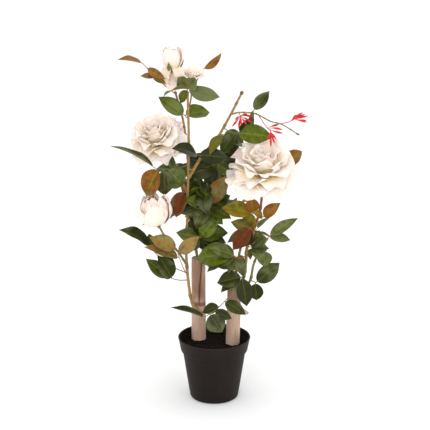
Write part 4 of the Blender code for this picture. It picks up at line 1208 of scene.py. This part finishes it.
class ROSEBUSH_OT_blooms(RoseBushOperator, bpy.types.Operator):
    """Grow the white blooms petal by petal, with their calyxes"""

    bl_idname = "rose_bush.blooms"
    bl_label = "Blooms"

    def make(self, pot, cloth):
        petals = petal_finish(cloth.petal, cloth.petal_depth)
        self.thickness = cloth.petal_thickness / MM
        for bloom in BLOOMS:
            skin, self.solid = Cloth(), Solid(bloom.name)
            wide, high = bloom.size, bloom.size * bloom.tall
            frame_of = bloom_frame(bloom) @ Matrix.Diagonal((wide, wide, high, 1))
            rng = random.Random(bloom.seed)
            for layer, ring in enumerate((*bloom.rings, *bloom.inner)):
                outer = layer < len(bloom.rings)
                if layer == len(bloom.rings):
                    rng = random.Random(bloom.seed + 100)
                for number in range(ring.count):
                    angle = ring.turn + 360 / ring.count * number + rng.uniform(-7, 7)
                    own = ring._replace(length=ring.length * rng.uniform(0.93, 1.05),
                                        end=ring.end + rng.uniform(-6, 6),
                                        rise=ring.rise + number * FOOT_STEP)
                    place = frame_of @ Matrix.Rotation(math.radians(angle), 4, "Z")
                    wave = rng.uniform(0, 2 * math.pi)
                    size = self.size_taken(own, place, wave) if outer else 1
                    if size:
                        self.petal(skin, own, place @ Matrix.Scale(size, 4), wave, layer, bloom)
            new_piece(f"petals_{bloom.name}", skin.mesh(bloom.name, petals), "petals", bloom.name)
        self.calyxes(cloth)

    def size_taken(self, ring, place, wave):
        """The size that the solid's petal has, by where its corners are."""
        for size in PETAL_SIZES:
            for corner in PETAL_CORNERS:
                across, along = (np.array([[float(value)]]) for value in corner)
                spot = petal_grid(ring, across, along, wave)[0, 0]
                if self.solid.has(place @ Matrix.Scale(size, 4) @ Vector(spot)):
                    return size
        return None

    def petal(self, skin, ring, place, wave, layer, bloom):
        """One crinkled petal, thinner and blushed at its edge, with deeper dye at its foot."""
        rng = random.Random(f"{bloom.name}{layer}{wave:.4f}")
        across = np.linspace(-1, 1, PETAL_COLUMNS)[None, :]
        along = (np.linspace(0, 1, PETAL_ROWS) ** 0.85)[:, None]
        edge = np.clip((np.maximum(np.abs(across), along) - 0.55) / 0.45, 0, 1)
        ripple = np.sin(across * rng.uniform(5, 8) + rng.uniform(0, 6))
        ripple = ripple * np.sin(along * rng.uniform(6, 9) + rng.uniform(0, 6))
        small = np.sin(across * rng.uniform(13, 19) + along * 5 + rng.uniform(0, 6))
        crinkle = 1.5 * ripple * along + 0.7 * small * edge ** 1.5 * along
        crinkle = ring.width / 70 * bloom.crumple * crinkle
        curl = np.clip(along - 0.8, 0, 1) / 0.2 * rng.uniform(0.6, 2.6)
        crinkle = crinkle - curl * (0.5 + 0.5 * np.cos(across * 2.2 + rng.uniform(-1, 1)))
        thickness = self.thickness * (0.45 + 0.55 * (1 - edge))
        yellow, rosy = (0.3, 1.0) if bloom.sepals else (0.95, 0.15)
        depth = np.clip(1 - along / (0.85 if layer > 1 else 0.65), 0, 1) * yellow + 0 * across
        blush = np.clip(0.5 + 0.5 * np.sin(across * 2.5 + rng.uniform(0, 6)), 0, 1) * edge * along
        skin.add(moved(petal_grid(ring, across, along, wave, crinkle), place), thickness,
                 across=across[..., None], along=along[..., None],
                 depth=depth[..., None], blush=np.maximum(blush, rosy)[..., None])

    def calyxes(self, cloth):
        """Green calyx under each bloom, with the sepals that its solid has."""
        material = leaf_finish("sepal_cloth", linear(160, 160, 80), 0.3, linear(150, 120, 60),
                               linear(140, 136, 30), 0.5)
        skin, paths = Cloth(), []
        for bloom in BLOOMS:
            rng = random.Random(bloom.seed)
            base = bloom_frame(bloom)
            origin = base.translation
            axis, back = base.to_3x3() @ UP, -LIMBS[bloom.stem].tip()[1]
            paths.append([(origin + (back if reach > 0 else -axis) * reach, radius, SEPAL_GREEN)
                          for reach, radius in CALYX_CUP])
            count = bloom.sepals or HIDDEN_SEPALS
            for number in range(count):
                angle = 360 / count * number + rng.uniform(-15, 15)
                way, face = sepal_pose(base, angle, bloom.curl)
                length = SEPAL_LENGTH if bloom.sepals else HIDDEN_SEPAL_LENGTH * bloom.size
                leaf(skin, paths, origin, way, face, length, SEPAL_SHARE, abs(bloom.curl) or 0.4,
                     SEPAL_GREEN, SEPAL_GREEN, f"{bloom.name}{number}", cloth)
        blooms = [bloom.name for bloom in BLOOMS]
        new_piece("sepals", skin.mesh("sepals", material), "leaves", *blooms)
        cup = dyed_finish("moulded_calyx", 0.35, 0.55, 200, 0.3)
        new_piece("calyxes", sweep("calyxes", paths, 12, cup), "stem", *blooms)


def face_towards(way, towards, roll):
    """The face of a blade that points along a way and looks towards a vector, rolled by degrees."""
    face = (towards - way * way.dot(towards)).normalized()
    return Matrix.Rotation(math.radians(roll), 3, way) @ face


def sepal_pose(base, angle, curl):
    """Way and face of a sepal, which starts flatter where it curls up."""
    turn = base.to_3x3() @ Matrix.Rotation(math.radians(angle), 3, "Z")
    way = turn @ direction(80 if curl > 0 else 60, 0)
    return way, face_towards(way, UP, 180 if curl > 0 else 0)


def bowed(root, way, face, length, droop, angle):
    """Places on the middle line of a drooping blade, by the angle that it has bent through."""
    return np.array(root) + length / droop * (np.array(way) * np.sin(angle)[..., None]
                                              - np.array(face) * (1 - np.cos(angle))[..., None])


def leaf(skin, paths, root, way, face, length, wide, droop, dye, rib_dye, key, cloth):
    """One toothed leaf on its short stalk, with the rib that runs under it."""
    rng = random.Random(key)
    along = np.linspace(0.05, 1, LEAF_ROWS)[:, None]
    across = np.linspace(-1, 1, LEAF_COLUMNS)[None, :]
    grown = (along - 0.05) / 0.95
    outline = np.sin(math.pi * grown ** 0.82) ** (0.74 + 0.4 * grown ** 2)
    outline = outline * (1 - 0.12 * grown)
    tooth = cloth.tooth * (np.arange(LEAF_ROWS) % 2)[:, None] * np.sin(math.pi * grown)
    half = np.maximum(wide * length / 2 * outline * (1 - tooth * np.abs(across) ** 6), 0.15)
    curl = rng.uniform(-2.4, 1.0) * length / 9
    fold = BLADE_FOLD * rng.uniform(0.55, 1.45)
    ripple = np.sin(grown * rng.uniform(9, 13) + np.where(across < 0, 0.0, 1.7) + rng.uniform(0, 6))
    swell = np.sin((grown * VEIN_PAIRS - np.abs(across) * VEIN_SLANT) * 2 * math.pi)
    rise = fold * half * np.abs(across) ** 1.25 + curl * np.maximum(grown - CURL_FROM, 0) ** 2
    rise = rise + 0.05 * half * ripple * np.abs(across) ** 2
    rise = rise + 0.16 * swell * np.abs(across) * (1 - np.abs(across)) * 2
    bend = (droop * along)[..., None]
    out = np.array(face) * np.cos(bend) + np.array(way) * np.sin(bend)
    centre = bowed(root, way, face, length, droop, droop * along)
    grid = centre - np.cross(way, face) * (half * across)[..., None] + out * rise[..., None]
    thickness = cloth.leaf_thickness / MM * np.minimum(1, half / 2)
    tone = np.array(dye) * rng.uniform(0.84, 1.16)
    tone = tone * np.array([rng.uniform(0.94, 1.06), 1, rng.uniform(0.9, 1.1)])
    skin.add(grid, thickness, across=across[..., None], along=grown[..., None], dye=tone)
    rib = []
    for share in (0, 0.05, 0.1, 0.2, 0.35, 0.5, 0.65, 0.8, 0.93):
        bend = np.float64(droop * share)
        out = np.array(face) * np.cos(bend) + np.array(way) * np.sin(bend)
        under = RIB_DEPTH * min(1, share / 0.2) - curl * max(share - CURL_FROM, 0) ** 2
        place = bowed(root, way, face, length, droop, bend) - out * under
        rib.append((place, 0.85 * (1 - share) + 0.16, rib_dye))
    paths.append(rib)


class ROSEBUSH_OT_leaves(RoseBushOperator, bpy.types.Operator):
    """Grow the sprays of toothed leaves on their stalks"""

    bl_idname = "rose_bush.leaves"
    bl_label = "Leaves"

    def make(self, pot, cloth):
        self.cloth = cloth
        self.stalks = []
        self.skins = {kind: Cloth() for kind in ("green", "bronze", "behind")}
        self.nodes = {kind: [] for kind in self.skins}
        for number, spray in enumerate(SPRAYS):
            bronze = "bronze" in spray.name or "rust" in spray.name
            self.grow(spray, VIEWER, random.Random(number), "bronze" if bronze else "green")
        self.back_sprays()
        green = leaf_finish("green_leaf_cloth", linear(150, 156, 70), cloth.vein * 1.2,
                            linear(38, 44, 8), linear(96, 108, 10), 0.4)
        bronze = leaf_finish("bronze_leaf_cloth", linear(196, 68, 58), cloth.vein * 3.0,
                             linear(110, 42, 16), linear(128, 124, 48), 0.75)
        for kind, material, slot in (("green", green, "leaves"), ("bronze", bronze, "bronze_leaves"),
                                     ("behind", green, "leaves")):
            mesh = self.skins[kind].mesh(f"leaves_{kind}", material)
            new_piece(f"leaves_{kind}", mesh, slot, *self.nodes[kind])
        every = [name for names in self.nodes.values() for name in names]
        stalk = dyed_finish("moulded_stalk", 0.4, 0.5, 220, 0.25)
        new_piece("leaf_stalks", sweep("leaf_stalks", self.stalks, 6, stalk), "stem", *every)

    def grow(self, spray, towards, rng, kind):
        limb, solid = spray_stalk(spray), Solid(spray.name)
        red = kind == "bronze" or spray.name in RED_STALKED
        dye = STALK_RED if red else STALK_GREEN
        route = spray_route(spray, limb)
        end = len(route) - 1
        self.stalks.append([(place, blend(STALK_RADIUS, STALK_TIP_RADIUS, step / end) * STALK_SLIM, dye)
                            for step, place in enumerate(route)])
        self.nodes[kind].append(spray.name)
        last = len(limb.route) - 1
        for number, (lean, fore, length, roll, *broad) in enumerate(spray.blades):
            share = max(0.25, 1 - BLADE_SPACING * number)
            row = min(int(share * last), last - 1)
            root = limb.between(row, share * last - row)[0]
            length *= rng.uniform(0.96, 1.04)
            wide = WIDTH_SHARE * rng.uniform(0.92, 1.1) * (broad[0] if broad else 1)
            droop = rng.uniform(0.25, 0.75)
            roll += rng.uniform(-14, 14)
            fore += rng.uniform(*FORE_SPREAD)
            for turn in TURNS:
                way = direction(lean, fore + turn)
                face = face_towards(way, towards, roll)
                if solid.has(bowed(root, way, face, length, droop, np.float64(droop))):
                    leaf(self.skins[kind], self.stalks, root, way, face, length, wide, droop,
                         LEAF_DYES[spray.dye[number]], dye, f"{spray.name}{number}", self.cloth)
                    if spray.name.startswith(FILLED):
                        self.smaller(spray.name, number, root, (lean, fore + turn), length, dye)
                    break

    def smaller(self, name, number, root, pose, length, dye):
        """Smaller leaves turned aside and back from a blade, within the reach of its solid."""
        rng = random.Random(f"{name} behind {number}")
        low, high = (Vector(corner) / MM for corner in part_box(name))
        for side in FILL_SIDES:
            for _ in range(FILL_TRIES):
                way = direction(pose[0] + side * rng.uniform(20, 70), pose[1] - rng.uniform(-10, 60))
                face = face_towards(way, VIEWER, rng.uniform(-40, 40))
                own, droop = length * rng.uniform(0.62, 0.92), rng.uniform(0.3, 0.8)
                tip = bowed(root, way, face, own, droop, np.float64(droop))
                if all(low[axis] < tip[axis] < high[axis] for axis in range(3)):
                    leaf(self.skins["green"], self.stalks, root, way, face, own, FILL_WIDTH, droop,
                         LEAF_DYES[rng.choice(FILL_DYES)], dye, f"{name}{number}{side}", self.cloth)
                    break

    def back_sprays(self):
        rng = random.Random(BACK_SEED)
        for number, (stem, height, around, up) in enumerate(BACK_SPRAYS):
            turn = Matrix.Rotation(math.radians(around), 3, "Z")
            way = turn @ Matrix.Rotation(math.radians(-up), 3, "Y") @ Vector((1, 0, 0))
            length = BACK_STALK * rng.uniform(0.85, 1.15)
            blades = []
            for place in range(BACK_BLADES):
                spread = (place + 1) // 2 * BACK_SPREAD / 1.5 * (1 if place % 2 else -1)
                spread = max(-BACK_SPREAD, min(BACK_SPREAD, spread)) + rng.uniform(-12, 12)
                tilted = Matrix.Rotation(math.radians(spread), 3, "Z") @ way + UP * rng.uniform(-0.6, 0.2)
                blades.append((*angles(tilted.normalized()), BACK_LENGTH * rng.uniform(0.8, 1.15), 0))
            dyes = [random.Random(f"{number}{place}").choice(BACK_DYES) for place in range(BACK_BLADES)]
            stalk = (*angles(way), length, BACK_BOW)
            spray = Spray(f"leaves_back_{number + 1}", stem, height, stalk, blades, dyes)
            self.grow(spray, way + UP, rng, "behind")


def spray_stalk(spray):
    """A spray's bowed stalk, of a few stretches."""
    lean, fore, length, bow = spray.stalk
    way, stem = direction(lean, fore), LIMBS[spray.stem]
    at_tip = spray.height is TIP
    root = stem.beyond(way, STALK_RADIUS) if at_tip else stem.beside(spray.height, way, STALK_RADIUS)
    end = root + way * length
    middle = (root + end) / 2 - UP * bow * 2
    route = []
    for step in range(STALK_STEPS + 1):
        t = step / STALK_STEPS
        route.append(root * (1 - t) ** 2 + middle * 2 * t * (1 - t) + end * t * t)
    return Limb(route, STALK_RADIUS, STALK_TIP_RADIUS)


def spray_route(spray, limb):
    """A smooth route along a spray's stalk, from inside the stem that carries it."""
    carrier = LIMBS[spray.stem]
    inside = carrier.tip()[0] if spray.height is TIP else carrier.at(spray.height)[0]
    return smooth_route([inside, *limb.route], 4)


class ROSEBUSH_OT_blossoms(RoseBushOperator, bpy.types.Operator):
    """Fan the small red blossom from the arching twig"""

    bl_idname = "rose_bush.blossoms"
    bl_label = "Blossom"

    def make(self, pot, cloth):
        red = Vector(cloth.blossom)
        paths = []
        for number, spray in enumerate(BLOSSOMS):
            rng = random.Random(number)
            limb = spray_stalk(spray)
            paths.append([(place, BLOSSOM_STALK, tuple(red * 0.8)) for place in spray_route(spray, limb)])
            lean, fore = spray.stalk[:2]
            for count in range(spray.spindles):
                share = count / (spray.spindles - 1)
                root = limb.route[-1].lerp(limb.route[-2], 0.9 * (1 - share))
                fan = spray.fan * (share - 0.5)
                way = direction(lean + fan + rng.uniform(-9, 9), fore + rng.uniform(-35, 25))
                length = SPINDLE_LENGTH * rng.uniform(0.75, 1.2) * SPINDLE_REACH
                bend = axis_frame(root, way).to_3x3() @ Vector((0, 1, 0)) * rng.uniform(0.5, 3.5)
                paths.append([(root - way + way * length * along + bend * math.sin(math.pi * along),
                               SPINDLE_RADIUS * SPINDLE_SLIM * size, tuple(red * (1.15 - 0.4 * along)))
                              for along, size in SPINDLE])
        material = dyed_finish("blossom_cloth", 0.4, 0.42, 260, 0.35)
        new_piece("red_blossom", sweep("red_blossom", paths, 8, material), "blossom",
                  *(spray.name for spray in BLOSSOMS))


OPERATORS = (ROSEBUSH_OT_stage, ROSEBUSH_OT_pot, ROSEBUSH_OT_filling, ROSEBUSH_OT_trunks,
             ROSEBUSH_OT_stems, ROSEBUSH_OT_blooms, ROSEBUSH_OT_leaves, ROSEBUSH_OT_blossoms)


class ROSEBUSH_PT_panel(bpy.types.Panel):
    """Lists the bush's pieces, colours and sizes in the sidebar"""

    bl_label = "Rose Bush"
    bl_space_type = "VIEW_3D"
    bl_region_type = "UI"
    bl_category = "Rose Bush"

    def draw(self, context):
        for group in (context.scene.rose_bush_pot, context.scene.rose_bush_cloth):
            for name in group.__annotations__:
                self.layout.prop(group, name)
        for operator in OPERATORS:
            self.layout.operator(operator.bl_idname)


CLASSES = (RoseBushPot, RoseBushCloth, *OPERATORS, ROSEBUSH_PT_panel)


def register():
    for item in CLASSES:
        bpy.utils.register_class(item)
    bpy.types.Scene.rose_bush_pot = bpy.props.PointerProperty(type=RoseBushPot)
    bpy.types.Scene.rose_bush_cloth = bpy.props.PointerProperty(type=RoseBushCloth)


def unregister():
    del bpy.types.Scene.rose_bush_cloth
    del bpy.types.Scene.rose_bush_pot
    for item in reversed(CLASSES):
        bpy.utils.unregister_class(item)


def main():
    register()
    bpy.ops.rose_bush.stage()
    bpy.ops.rose_bush.pot()
    bpy.ops.rose_bush.filling()
    bpy.ops.rose_bush.trunks()
    bpy.ops.rose_bush.stems()
    bpy.ops.rose_bush.blooms()
    bpy.ops.rose_bush.leaves()
    bpy.ops.rose_bush.blossoms()


if __name__ == "__main__":
    main()
